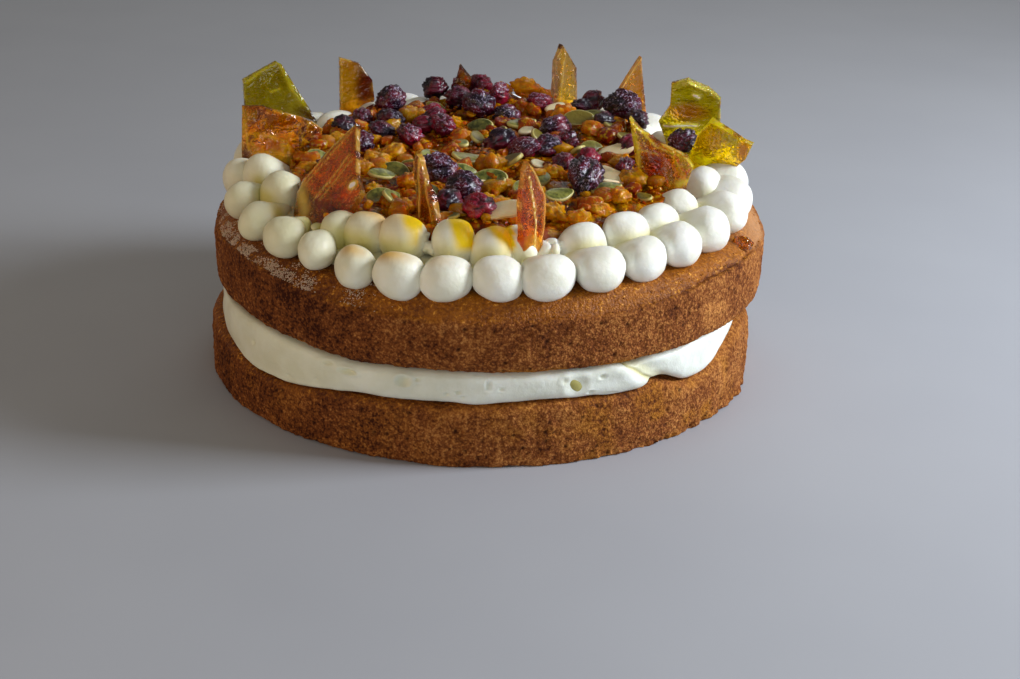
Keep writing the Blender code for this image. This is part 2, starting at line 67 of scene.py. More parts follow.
# Rises and dips of an edge as (angle, width in degrees, height).
FILLING_HIGH_BUMPS = ((213, 10, 0.0012), (245, 8, -0.0013), (328, 14, 0.0010), (100, 20, -0.0012))
CRUST_RIM_BUMPS = (
    (214, 16, 0.0036), (286, 4, 0.0012), (325, 15, 0.0042), (30, 25, 0.0018), (90, 30, 0.0010),
    (150, 25, 0.0020),
)

# ---- sizes that are finer here than in the part ----
TOP_SHIFT = 0.0026                # how far the top sponge sits to the right
BOTTOM_SHIFT = -0.0002
CORE_RADIUS = 0.0960              # from here inwards the seams are level
SEAM_RADIUS = 0.1090              # from here outwards they are as high as at the edge
FILLING_LOW_BUMPS = (
    (223, 12.5, -0.0046), (285, 8, 0.0014), (308, 4, 0.0022), (319, 6, -0.0030), (341, 9, 0.0064),
    (20, 25, -0.0010), (75, 15, -0.0022), (120, 12, 0.0012), (160, 14, -0.0015),
)
BOTTOM_RADIUS_BUMPS = ((340, 16, -0.0002), (230, 20, 0.0002), (100, 25, -0.0008))
FILLING_RADIUS_BUMPS = ((188, 10, -0.0040), (300, 25, 0.0006), (352, 11, -0.0065), (60, 30, -0.0010))

# ---- sponge and cream surfaces ----
COLUMNS = 1200                   # points round a sponge, 0.6 mm apart
FILLING_COLUMNS = 900
# Dents in the filling as (angle, height, half width, half height, depth), lengths in mm.
FILLING_DENTS = (
    (244.4, 33.3, 3.2, 1.0, 1.6), (240.0, 34.8, 2.0, 0.8, 0.6), (218.7, 31.1, 1.1, 0.9, 0.6),
    (256.0, 33.4, 2.4, 1.7, 1.3), (258.6, 34.6, 0.8, 0.7, 0.8), (264.4, 29.6, 0.9, 0.8, 0.6),
    (266.5, 30.8, 0.8, 0.7, 0.7), (267.4, 28.9, 0.6, 0.6, 0.5), (272.2, 34.0, 0.8, 1.7, 0.6),
    (274.6, 32.4, 0.7, 0.7, 0.5), (289.0, 32.6, 3.8, 3.6, 0.8), (286.6, 34.6, 1.1, 1.2, 0.5),
    (294.4, 34.4, 1.4, 0.9, 0.7), (296.0, 27.0, 2.8, 0.6, 0.6), (292.0, 28.6, 1.0, 0.8, 0.6),
    (333.0, 33.0, 1.0, 0.8, 0.4), (20.0, 32.0, 2.2, 1.4, 0.8), (62.0, 34.0, 1.4, 1.4, 0.7),
    (97.0, 30.0, 2.8, 1.0, 0.8), (135.0, 33.0, 1.8, 1.8, 0.9), (171.0, 31.0, 2.4, 1.2, 0.7),
)
FILLING_FOLD = 303.0             # where the ring of cream was started and ended
FRUIT_BIT = (288.6, 32.6)        # angle and height in mm of a bit of fruit in the filling

# ---- piped border ----
# Dollops as (angle, distance and half width in mm) from the left round the front to the right,
# and the angles of the first and last dollop behind them with their number.
OUTER_DOLLOPS = (
    (181, 101.5, 8.4), (196.4, 101.0, 7.9), (210.2, 101.8, 7.7), (222.3, 102.6, 8.8), (233, 103.0, 7.2),
    (243.9, 105.8, 7.5), (254, 106.8, 9.8), (263.6, 105.2, 11.2), (273.7, 104.8, 10.3), (284, 105.4, 10.8),
    (295.6, 104.2, 11.4), (307, 102.6, 11.2), (318, 102.6, 11.4), (330.6, 101.6, 12.0), (343, 102.4, 11.6),
    (353.5, 102.0, 10.8), (364.5, 102.0, 10.8),
)
INNER_DOLLOPS = (
    (184.4, 92.0, 8.6), (199.0, 86.0, 9.2), (217, 88.0, 8.6), (232.0, 88.0, 7.4), (239.6, 86.0, 9.2),
    (249.8, 85.5, 9.4), (263, 84.0, 8.4), (273, 85.5, 9.0), (280.0, 82.5, 7.6), (296.5, 86.0, 10.6),
    (310, 86.0, 11.0), (322.4, 86.0, 11.0), (337, 85.0, 7.6), (354.5, 91.0, 10.8),
)
INNER_LIFTS = {239.6: 1.5, 249.8: 2.2, 263: 2.5, 296.5: -1.6}     # mm, by angle
OUTER_BACK = (18.5, 167.0, 12)
INNER_BACK = (26.0, 169.0, 11)
SMEARED_ANGLE = 217
NARROW_DOLLOP = 8.0              # a dollop whose half width in mm is below this is also lower
# Each row's dollops, those behind, their distance in mm, half sizes and height of the centres.
ROWS = {
    "outer": (OUTER_DOLLOPS, OUTER_BACK, 102.5, (0.0094, 0.0100, 0.0095), 0.0770),
    "inner": (INNER_DOLLOPS, INNER_BACK, 87.0, (0.0097, 0.0098, 0.0108), 0.0792),
}
# How far a tail reaches inwards and drops, in half sizes, and how far it veers to the left, in degrees.
TAILS = {"outer": (0.95, 0.02, 26.0), "inner": (0.45, 0.10, 8.0)}
BAND = (0.0835, 0.0975, 0.0760)  # inner and outer radius and top of the ring under both rows
# Scraps of cream torn up beside the brittle, as (angle, distance, height, size, lean), in mm.
TORN_CREAM = (
    (224, 95, 81.0, 3.6, 40), (228, 94, 81.0, 3.4, 70), (229.5, 90, 81.0, 3.2, 20), (254, 83, 81.0, 3.8, 30),
    (256.4, 86, 79.5, 4.2, 60), (258.5, 87, 79.0, 3.6, 75), (286.0, 89, 79.5, 4.0, 35),
    (289.5, 86, 80.5, 3.8, 80), (288.2, 85, 81.2, 3.2, 50), (288, 90, 79.5, 3.8, 20),
    (291.5, 87, 79.5, 3.6, 15), (303, 108, 77.5, 1.2, 50),
)
# Painted on the cream: yellow light shone through the brittle, as (angle, reach in degrees, strength), and
# ochre, partly run glaze and partly painted shade, as (angle, distance in metres, width in degrees,
# strength).
YELLOW_PAINTED_LIGHT = ((250.6, 4.4, 0.80), (263.0, 4.9, 1.0), (272.8, 5.2, 1.0))
OCHRE_STAINS_AND_SHADE = (
    (239.8, 0.084, 4.2, 0.80), (249.0, 0.087, 3.6, 0.45), (243.2, 0.1090, 3.0, 0.80),
    (251.8, 0.1090, 3.2, 0.90), (261.6, 0.1080, 2.6, 0.35),
)

# ---- heap ----
HEAP_TOP = 0.0862
HEAP_BACK_RISE = 0.0040
HEAP_RADIUS = 0.0815
GOLDEN_ANGLE = 137.508
# Pieces that stand out, as (x, y, size, turn, and for a berry how dark it is from 0 to 1), in mm.
BERRIES = (
    (-44, 63, 1.30, 20, 0.95), (-55, 44, 1.00, 80, 0.80), (-45, 27, 1.05, 10, 0.90),
    (-53, 12, 0.95, 0, 1.00), (-33, 22, 1.15, 70, 0.35), (-24, 40, 1.05, 30, 0.70),
    (-19, 30, 1.10, 120, 0.45), (-27, 31, 0.95, 0, 0.75), (-19, -23, 1.45, 10, 0.75),
    (-8, -42, 1.35, 165, 0.90), (-13, -59, 1.10, 60, 0.80), (-1, -69, 1.25, 140, 0.10),
    (-13, 69, 1.10, 30, 0.85), (-4, 59, 1.35, 150, 0.85), (5, 73, 1.00, 60, 0.20), (8, 53, 0.95, 10, 0.95),
    (23, 66, 1.00, 0, 0.60), (43, 64, 1.05, 20, 0.95), (6, 17, 1.15, 20, 0.95), (16, 8, 1.20, 160, 0.60),
    (30, 35, 1.15, 40, 0.65), (35, 19, 1.05, 100, 0.55), (26, 12, 1.05, 30, 0.95),
    (33, -8, 1.15, 100, 0.50), (43, 0, 1.00, 75, 0.35), (41, -34, 1.60, 80, 1.00),
    (42, -22, 1.00, 60, 0.85), (61, 14, 1.00, 30, 0.70), (58, -12, 0.85, 70, 0.40),
    (-62, 30, 1.00, 50, 0.90), (52, 44, 1.00, 50, 0.80),
)
SEEDS = (
    (-41, -28, 1.05, 20), (-36, -19, 0.95, 150), (-36, -54, 1.10, 60), (-41, -51, 0.90, 30),
    (-8, -4, 1.20, 25), (-9, -23, 1.10, 5), (3, -28, 1.15, 170), (-23, 1, 1.00, 40), (-3, 38, 1.10, 160),
    (-4, 23, 1.05, 90), (-13, -70, 0.90, 150), (12, -8, 1.20, 120), (4, -34, 0.90, 10), (15, -36, 0.90, 60),
    (30, -48, 1.10, 30), (15, 42, 1.15, 20), (40, 44, 1.15, 10), (47, 55, 1.00, 170), (56, 40, 1.05, 30),
    (49, -40, 1.10, 15), (39, 10, 1.10, 100), (22, 24, 1.05, 60), (-12, 14, 1.05, 130), (24, -25, 0.90, 80),
)
CHUNKS = (
    (-45, -5, 1.20, 10), (-39, 5, 1.20, 60), (-50, -17, 1.00, 30), (-11, 24, 1.15, 20), (2, -10, 1.45, 15),
    (-30, -60, 1.00, 30), (-1, -51, 1.20, 0), (28, -16, 1.10, 90), (57, -4, 1.20, 40), (47, 34, 1.15, 20),
    (6, -58, 1.15, 30), (37, -68, 0.95, 0), (54, -45, 1.15, 50), (28, -62, 1.00, 90), (-30, -36, 1.05, 40),
    (60, -22, 1.20, 110), (-57, -1, 1.00, 90), (33, 52, 1.20, 0), (20, -52, 1.10, 70),
)
FLAKES = (
    (30, 60, 1.00, 30), (17, 32, 0.90, 70), (55, 10, 1.25, 20), (52, -20, 1.20, 150), (9, -73, 1.50, 175),
    (14, -64, 1.30, 5), (50, -30, 1.15, 60), (-4, -31, 0.95, 20),
)
PLACED = {"berry": BERRIES, "chunk": CHUNKS, "seed": SEEDS, "flake": FLAKES}
HALF_SIZES = {
    "berry": (0.0056, 0.0046, 0.0042), "chunk": (0.0056, 0.0046, 0.0036),
    "seed": (0.0060, 0.0033, 0.0011), "flake": (0.0056, 0.0034, 0.0007),
}
# How far their centres stand over the glaze, in half heights: placed pieces, and those that fill up.
PLACED_RISE = {"berry": 0.70, "chunk": 0.30, "seed": 2.0, "flake": 3.2}
FILLER_RISE = {"berry": 0.55, "chunk": 0.20, "seed": 1.2, "flake": 1.4}
# Berries and fruit that lie on top of the border at the back, as (angle, distance, height, size, darkness).
PERCHED_BERRIES = (
    (107, 85, 96.5, 1.10, 0.95), (12, 86, 92.5, 1.15, 1.00), (99, 84, 96.0, 1.05, 0.55),
    (93, 85, 97.0, 1.15, 0.30), (44, 83, 97.0, 1.50, 1.00), (55, 82, 95.5, 1.00, 0.90),
    (34, 80, 94.0, 0.95, 0.90),
)
PERCHED_CHUNKS = ((78, 83, 96.5, 1.35), (86, 84, 95.0, 1.00), (71, 82, 95.0, 1.00))
# Room that a piece of size 1 takes, and how near others and the brittle may come.
PLACED_ROOM = {"berry": 0.0068, "chunk": 0.0056, "seed": 0.0056, "flake": 0.0056}
FILLER_SHARES = (("chunk", 0.45), ("seed", 0.78), ("berry", 0.90), ("flake", 1.0))     # running sums
FILLER_ROOM = 0.0052
FILLER_GAP = 0.0030
FOOT_GAP = 0.0050
FILLER_SITES = 150
FILLER_REACH = 0.0755
# Loose glaze: how many, how far out, and half sizes from and to in mm.
JELLY_COUNT = 150
JELLY_SIZES = (2.4, 5.4)
CRUMB_COUNT = 1100
CRUMB_SIZES = (0.5, 1.2)
CRUMB_REACH = 0.0790
# Crumbs of glaze on the border as (angle, distance, height, half size), in mm.
BORDER_CRUMBS = ((229, 91, 85.5, 1.3), (228, 90, 85.0, 1.0), (230.5, 92, 84.6, 0.9))
SUGAR_TRIES = 22000              # places tried for a grain of sugar; most stay empty
FLECK_COUNT = 700

# ---- brittle, as in the part: name, foot, heading, lean, thickness, crinkle, outline ----
BRITTLE_FOOT = 0.0790
BRITTLE = (
    ("brittle_olive", (-92, 46), 20, 0, 3.0, 0.5,
     ((-14, -5), (14, -5), (17, 6), (14, 12), (1.5, 33.5), (-1, 35), (-16, 28), (-15, 8))),
    ("brittle_crinkled", (-88, 7), 6, 8, 5.0, 1.2,
     ((-15, -5), (13, -5), (15, 2), (18.5, 9), (19, 16), (14.5, 19.5), (6, 22.5), (-6, 26),
      (-14.5, 26), (-15, 8))),
    ("brittle_ridged", (-77, -41), -50, 32, 3.4, 0.2,
     ((2, 6), (6, -3), (15, -5), (25, -4), (36, 8), (38, 17), (31, 22), (17, 40.5), (9, 28),
      (2, 12.5))),
    ("brittle_upright", (-60, 72), 15, 0, 3.0, 0.2,
     ((-8, -5), (4, -5), (8, 11), (7, 20), (1, 28), (-8, 31))),
    ("brittle_tip", (-12, 79), -15, 0, 3.0, 0.3,
     ((-6, -5), (4, -5), (2.5, 12), (4, 20.5), (-1.5, 26.5), (-3, 20), (-6, 11))),
    ("brittle_blade", (34, 77), 40, 0, 3.4, 0.2,
     ((-6, -5), (6, -5), (7.5, 9), (6.5, 26), (-2.5, 38), (-6.5, 31), (-7, 9))),
    ("brittle_spike", (66, 65), 25, 0, 3.0, 0.2,
     ((-6, -5), (6, -5), (5.5, 10), (1.5, 36), (-9.5, 21), (-7, 8))),
    ("brittle_green", (88, 32), -10, 0, 5.0, 1.0,
     ((-9, -5), (10, -5), (12.5, 6), (13, 18.5), (12.5, 28), (7, 32.5), (-2, 36), (-9, 33.5),
      (-9, 24), (-13.5, 16.5), (-10, 8))),
    ("brittle_yellow", (95, 12), -25, -10, 4.0, 0.6,
     ((-8, -5), (6, -5), (8.5, 1.5), (17, 10.5), (20, 18), (16, 19), (1.5, 26.5), (-4, 19),
      (-8, 8))),
    ("brittle_amber", (74, -22), -12, 0, 5.0, 0.8,
     ((-9, -5), (8, -5), (9, 8), (11, 15.5), (8, 19.5), (-2, 23.2), (-11, 28.5), (-16, 33.5),
      (-12.5, 15), (-9.5, 4))),
    ("brittle_thin_left", (-17, -75), -54, 0, 3.2, 0.2,
     ((-7, -5), (4, -5), (3.5, 2), (1, 9), (-2, 17), (-6.5, 22), (-10.3, 30), (-12.8, 31),
      (-15.5, 27.5), (-12.5, 9))),
    ("brittle_thin_right", (19, -87), 40, 0, 4.0, 0.2,
     ((-3, -5), (2, -5), (5, 2), (5.3, 22), (1, 30.5), (-3.3, 37), (-5.3, 34), (-6.7, 21.5),
      (-5.5, 6))),
)

# Screen colours of thin, thick and dark sugar, and of the painted highlights and glow on it.
SUGAR_TINTS = {
    "olive": ((216, 190, 6), (160, 132, 3), (104, 62, 4), (246, 230, 60)),
    "amber": ((255, 184, 4), (246, 126, 2), (96, 28, 4), (255, 208, 56)),
    "upright": ((255, 184, 14), (232, 144, 8), (122, 30, 14), (255, 220, 100)),
    "brown": ((255, 184, 24), (244, 124, 6), (140, 44, 6), (255, 220, 104)),
    "honey": ((255, 204, 30), (238, 160, 14), (170, 116, 108), (252, 220, 150)),
    "gold": ((255, 216, 24), (255, 156, 10), (196, 52, 6), (255, 236, 70)),
    "spike": ((255, 182, 14), (248, 148, 8), (200, 92, 50), (255, 214, 140)),
    "green": ((226, 204, 8), (180, 150, 4), (206, 104, 4), (252, 240, 120)),
    "yellow": ((255, 226, 2), (236, 182, 2), (224, 104, 4), (255, 238, 20)),
    "flame": ((255, 170, 8), (255, 112, 4), (206, 46, 10), (255, 214, 110)),
}
# Kind of face, tints, darker places as (x, z, half width, half height, strength) and lines of painted
# highlight and glow as (x, z, x, z, half width, strength), in mm on the shard's face.
SHARD_LOOKS = {
    "brittle_olive": (
        "wavy", "olive",
        ((14, 8, 2.5, 12, 0.8), (11, 12, 5, 3, 0.7), (-14, 10, 2, 5, 0.4)),
        ((1, 33, 6, 22, 1.2, 0.55), (6, 22, 13, 12, 1.0, 0.45), (-15, 27, -2, 34.5, 0.6, 0.6),
         (-4, 22, 0, 23, 0.7, 0.6))),
    "brittle_crinkled": (
        "crinkled", "amber",
        ((-13.5, 4, 3.2, 6.5, 1.0), (13, 11, 5, 6, 0.55), (-7, 22, 4, 2, 0.5)),
        ((-9, 4.5, 6, 3.0, 3.0, 0.85), (-14.5, 25, -12, 8, 0.7, 0.9), (-7, 14, 2, 12, 1.6, 0.45))),
    "brittle_ridged": (
        "ridged", "brown",
        ((5, 8, 0.7, 2.2, 0.9), (8, 5.5, 0.7, 2.4, 0.9), (11, 5, 0.8, 2.6, 0.8), (20, 34, 4, 6, 0.4),
         (26, 6, 5, 3, 0.5)),
        ((3, 11, 10, 27, 0.55, 1.0), (10, 27, 17, 39, 0.55, 1.0), (4.8, 10, 11.6, 25.5, 0.45, 0.8),
         (11.6, 25.5, 17.6, 37, 0.45, 0.8), (14, 6, 22.5, 28, 0.5, 0.9), (17.5, 8, 25, 27, 0.45, 0.7),
         (2.5, 9, 12, 1, 3.4, 0.95), (31.5, 17.5, 32.5, 18.5, 1.7, 1.8))),
    "brittle_upright": ("plain", "upright", ((3.6, 17, 4.6, 11.5, 0.95),), ((-7.5, 4, -7.5, 30, 0.6, 0.6),)),
    "brittle_tip": ("wavy", "upright", ((-2, 23, 3, 5, 0.8), (-5, 12, 2, 8, 0.6)), ()),
    "brittle_blade": ("plain", "honey", ((-6, 22, 2.2, 20, 0.9),), ((-3.6, 8, -1.5, 36, 0.5, 0.5),)),
    "brittle_spike": ("plain", "spike", ((-7, 16, 2.2, 12, 0.5),), ((-9, 21, 1, 35.5, 0.6, 0.7),)),
    "brittle_green": (
        "wavy", "green",
        ((-1, 21, 9, 4, 0.8),),
        ((1, 29.6, 3.4, 28.6, 0.9, 1.8), (-12.2, 19.6, -11, 20.4, 0.8, 1.7), (-11, 15, 3, 16, 0.8, 1.6),
         (-1.5, 35, 6, 32, 0.6, 1.3))),
    "brittle_yellow": (
        "wavy", "yellow", ((16.5, 14, 3.6, 6, 0.8),), ((-3, 8, 8, 3, 2.6, 1.0), (1, 26, 20, 18.4, 0.6, 0.9))),
    "brittle_amber": (
        "veined", "gold",
        ((-3.8, 12.3, 5.6, 8.0, 1.0),),
        ((-14.6, 28, -11.6, 20, 1.2, 0.9), (-11.6, 20, -10.4, 6, 0.9, 0.8), (5.4, 8, 7.6, 9.4, 1.8, 1.0),
         (-15, 32, -4.3, 22.4, 0.5, 0.9), (-4.3, 22.4, 8, 18.8, 0.5, 0.9), (8, 18.8, 11, 15.5, 0.5, 0.9),
         (-11, 21, -4, 19.6, 0.5, 0.7), (2, 20, 9.6, 9, 0.5, 0.7))),
    "brittle_thin_left": (
        "plain", "brown",
        ((-13, 20, 2, 12, 0.5), (-7.8, 12, 1.0, 12, 0.8)),
        ((-10.4, 30, -9.8, 6, 0.7, 1.0), (-6.3, 22, -2, 10, 0.6, 0.9), (-2, 10, 2, 0, 0.6, 0.8))),
    "brittle_thin_right": (
        "wavy", "flame",
        ((-5, 18, 1.7, 14, 0.45),),
        ((-3.6, 32, 0.4, 14, 0.4, 1.5), (0.4, 14, 0.4, 2, 0.4, 1.3), (-2.6, 36, 4.6, 23, 0.8, 0.9),
         (4.6, 23, 4.8, 8, 0.8, 0.8), (0, 3, 1, -2, 2.0, 0.8))),
}
# Size and strength of the lighter and darker patches on each kind of face.
PATCHES = {
    "crinkled": (0.0036, 0.60), "veined": (0.0052, 0.34), "wavy": (0.0070, 0.22),
    "ridged": (0.0026, 0.20), "plain": (0.0080, 0.10),
}
SHARD_STEP = 0.0008              # spacing of the points on a shard

# ---- camera ----
CAMERA_PLACE = (0.0099, -0.7259, 0.3050)
CAMERA_HEADING = math.radians(0.19)
CAMERA_TILT = math.radians(22.41)
CAMERA_ROLL = math.radians(1.52)
CAMERA_LENS = 63.5               # on the usual 36 mm wide film


# ---- numbers ----
def apart(angle, centre):
    """Signed difference of two angles, from -180 to 180 degrees."""
    return (angle - centre + 180.0) % 360.0 - 180.0


def bell(angle, centre, width):
    """Bell curve over an angle, 1 at its centre."""
    return np.exp(-0.5 * (apart(angle, centre) / width) ** 2)


def bumps(angle, terms):
    """Sum of the rises and dips at an angle."""
    return sum(height * bell(angle, centre, width) for centre, width, height in terms)


def ramp(value, low, high):
    """Smooth step from 0 at low to 1 at high."""
    part = np.clip((value - low) / (high - low), 0.0, 1.0)
    return part * part * (3.0 - 2.0 * part)


def boxier(values, power):
    """Power below 1 of values from -1 to 1 that keeps their signs, which squares off a ball."""
    return np.sign(values) * np.abs(values) ** power


def polar(angle, radius, height=0.0):
    """Point at an angle and distance from the axis."""
    turn = math.radians(angle)
    return Vector((radius * math.cos(turn), radius * math.sin(turn), height))


def angle_of(points):
    """Angle of each point round the axis, in degrees."""
    return np.degrees(np.arctan2(points[..., 1], points[..., 0])) % 360.0


def cell_random(cells, seed):
    """Repeatable random number from 0 to 1 for each whole-number cell."""
    whole = cells.astype(np.int64)
    mixed = whole[..., 0] * 73856093 ^ whole[..., 1] * 19349663 ^ whole[..., 2] * 83492791 ^ seed * 975313
    mixed = ((mixed ^ mixed >> 15) * 739982445) & 0xFFFFFFFF
    mixed = ((mixed ^ mixed >> 12) * 695872825) & 0xFFFFFFFF
    return ((mixed ^ mixed >> 15) % 65536) / 65536.0


def noise(points, size, seed=0):
    """Smooth noise from -1 to 1 with features of a size."""
    place = np.asarray(points) / size
    corner = np.floor(place)
    part = place - corner
    part = part * part * (3.0 - 2.0 * part)
    total = np.zeros(place.shape[:-1])
    for step in itertools.product((0, 1), repeat=3):
        ahead = np.array(step, dtype=bool)
        share = np.prod(np.where(ahead, part, 1.0 - part), axis=-1)
        total += share * cell_random(corner + ahead, seed)
    return 2.0 * total - 1.0


def scattered(points, spacing, seed):
    """Distance to the nearest of many scattered spots, in spacings, and that spot's own draw."""
    place = np.asarray(points) / spacing
    home = np.floor(place)
    nearest = np.full(place.shape[:-1], 9.0)
    draw = np.zeros(place.shape[:-1])
    for step in itertools.product((-1, 0, 1), repeat=3):
        cell = home + np.array(step)
        spot = cell + np.stack([cell_random(cell, seed + axis) for axis in range(3)], axis=-1)
        distance = np.linalg.norm(place - spot, axis=-1)
        closer = distance < nearest
        nearest = np.where(closer, distance, nearest)
        draw = np.where(closer, cell_random(cell, seed + 3), draw)
    return nearest, draw


# ---- meshes ----
def shade(mesh, material=None, sharp_angle=None):
    """Shade a mesh smoothly, apart from edges sharper than an angle, in a material."""
    mesh.shade_smooth()
    if sharp_angle:
        mesh.set_sharp_from_angle(angle=math.radians(sharp_angle))
    mesh.materials.clear()
    if material:
        mesh.materials.append(material)


def mesh_object(name, points, faces, material=None, sharp_angle=None):
    """Smooth-shaded mesh object."""
    mesh = bpy.data.meshes.new(name)
    mesh.from_pydata(np.asarray(points).tolist(), [], [tuple(face) for face in faces])
    shade(mesh, material, sharp_angle)
    obj = bpy.data.objects.new(name, mesh)
    bpy.context.scene.collection.objects.link(obj)
    return obj


def set_values(obj, values):
    """Store numbers for each point, which materials read by their names."""
    for name, numbers in values.items():
        attribute = obj.data.attributes.new(name, "FLOAT", "POINT")
        attribute.data.foreach_set("value", np.asarray(numbers, dtype=np.float32).ravel())


def get_points(obj):
    """Places of an object's points."""
    flat = np.empty(3 * len(obj.data.vertices), dtype=np.float32)
    obj.data.vertices.foreach_get("co", flat)
    return flat.reshape(-1, 3).astype(float)


def settle(points):
    """Lay what was made on a level deck on the sloping crown."""
    points = np.array(points, dtype=float)
    points[..., 2] += CROWN_SLOPE * points[..., 1]
    return points


def grid_faces(rows, columns):
    """Faces of a grid of points whose columns close into a ring."""
    here = np.arange(rows * columns).reshape(rows, columns)
    after = np.roll(here, -1, axis=1)
    return np.stack((here[:-1], after[:-1], after[1:], here[1:]), axis=-1).reshape(-1, 4).tolist()


def cap_faces(ring, centre, upwards):
    """Triangles from a ring of points to one point."""
    pairs = zip(ring, ring[1:] + ring[:1])
    return [(a, b, centre) if upwards else (b, a, centre) for a, b in pairs]


def closed_faces(rows, columns):
    """Faces of a grid whose two last points cap its first and last rows."""
    count = rows * columns
    faces = grid_faces(rows, columns)
    faces += cap_faces(list(range(columns)), count, False)
    return faces + cap_faces(list(range(count - columns, count)), count + 1, True)


def ball(rows, columns):
    """Unit directions over a ball, with its faces."""
    tilt = np.linspace(0.0, math.pi, rows + 2)[1:-1, None]
    turn = np.linspace(0.0, 2.0 * math.pi, columns, endpoint=False)[None, :]
    rings = (np.sin(tilt) * np.cos(turn), np.sin(tilt) * np.sin(turn), -np.cos(tilt) + 0.0 * turn)
    directions = np.stack(rings, axis=-1).reshape(-1, 3)
    return np.vstack((directions, [(0.0, 0.0, -1.0), (0.0, 0.0, 1.0)])), closed_faces(rows, columns)


def joined(name, parts, material, sharp_angle=None):
    """One mesh from many (points, faces, {value name: per-point values}) parts."""
    points = []
    faces = []
    values = {}
    count = 0
    for part_points, part_faces, part_values in parts:
        points.append(part_points)
        faces += [tuple(corner + count for corner in face) for face in part_faces]
        count += len(part_points)
        for key, value in part_values.items():
            values.setdefault(key, []).append(np.broadcast_to(value, len(part_points)))
    obj = mesh_object(name, np.vstack(points), faces, material, sharp_angle)
    set_values(obj, {key: np.concatenate(pieces) for key, pieces in values.items()})
    return obj


def posed(points, centre, turn=0.0, lean=0.0, roll=0.0):
    """Points turned by angles in degrees and moved to a place."""
    pose = Matrix.Rotation(math.radians(turn), 3, "Z") @ Matrix.Rotation(math.radians(lean), 3, "X")
    pose = pose @ Matrix.Rotation(math.radians(roll), 3, "Y")
    return np.asarray(points) @ np.array(pose).T + np.array(centre)


# ---- materials ----
def tint(red, green, blue):
    """Linear colour from the usual 0 to 255 screen values."""
    def linear(value):
        part = value / 255.0
        return part / 12.92 if part <= 0.04045 else ((part + 0.055) / 1.055) ** 2.4

    return (linear(red), linear(green), linear(blue))


class Paint:
    """A material under construction.

    An input takes a number, a socket, a colour in screen values, or the name of one of the mesh's values.
    """

    def __init__(self, name):
        self.material = bpy.data.materials.new(name)
        self.material.use_nodes = True
        self.tree = self.material.node_tree
        self.shader = self.tree.nodes["Principled BSDF"]
        self.place = self.tree.nodes.new("ShaderNodeTexCoord").outputs["Object"]
        self.colour = None

    def connect(self, value, socket):
        """Put a value into an input."""
        if isinstance(value, str):
            stored = self.tree.nodes.new("ShaderNodeAttribute")
            stored.attribute_name = value
            value = stored.outputs["Fac"]
        if isinstance(value, bpy.types.NodeSocket):
            self.tree.links.new(value, socket)
        elif isinstance(value, tuple) and socket.type == "RGBA":
            socket.default_value = (*tint(*value), 1.0)
        else:
            socket.default_value = value

    def node(self, kind, result, **inputs):
        """Socket that gives the result of a new node with these inputs."""
        node = self.tree.nodes.new("ShaderNode" + kind)
        for name, value in inputs.items():
            self.connect(value, node.inputs[name.replace("_", " ")])
        return node.outputs[result]

    def noise(self, size, detail=3.0, roughness=0.55, distortion=0.0):
        """Noise with features of a size in metres."""
        return self.node("TexNoise", "Fac", Vector=self.place, Scale=0.5 / size, Detail=detail,
                         Roughness=roughness, Distortion=distortion)

    def specks(self, size):
        """Distance to scattered spots about a size apart, in spacings."""
        return self.node("TexVoronoi", "Distance", Vector=self.place, Scale=1.0 / size)

    def remap(self, value, low, high, to_low=0.0, to_high=1.0):
        """Clamped change of range."""
        return self.node("MapRange", "Result", Value=value, From_Min=low, From_Max=high,
                         To_Min=to_low, To_Max=to_high)

    def math(self, operation, total, *values):
        """Sum, product or difference of two or more values."""
        for value in values:
            node = self.tree.nodes.new("ShaderNodeMath")
            node.operation = operation
            self.connect(total, node.inputs[0])
            self.connect(value, node.inputs[1])
            total = node.outputs[0]
        return total

    def mix(self, share, first, second):
        """Blend of two colours."""
        node = self.tree.nodes.new("ShaderNodeMix")
        node.data_type = "RGBA"
        for name, value in (("Factor", share), ("A", first), ("B", second)):
            self.connect(value, node.inputs[name])
        return node.outputs["Result"]

    def over(self, share, colour):
        """Lay a colour over the material's own."""
        self.colour = self.mix(share, self.colour, colour)

    def bump(self, height, distance, strength=1.0):
        """Relief finer than the mesh."""
        normal = self.node("Bump", "Normal", Strength=strength, Distance=distance, Height=height)
        self.connect(normal, self.shader.inputs["Normal"])

    def finish(self, **inputs):
        """The material, with its colour and these inputs, whose names have underscores for spaces."""
        self.connect(self.colour, self.shader.inputs["Base Color"])
        for name, value in inputs.items():
            self.connect(value, self.shader.inputs[name.replace("_", " ")])
        return self.material


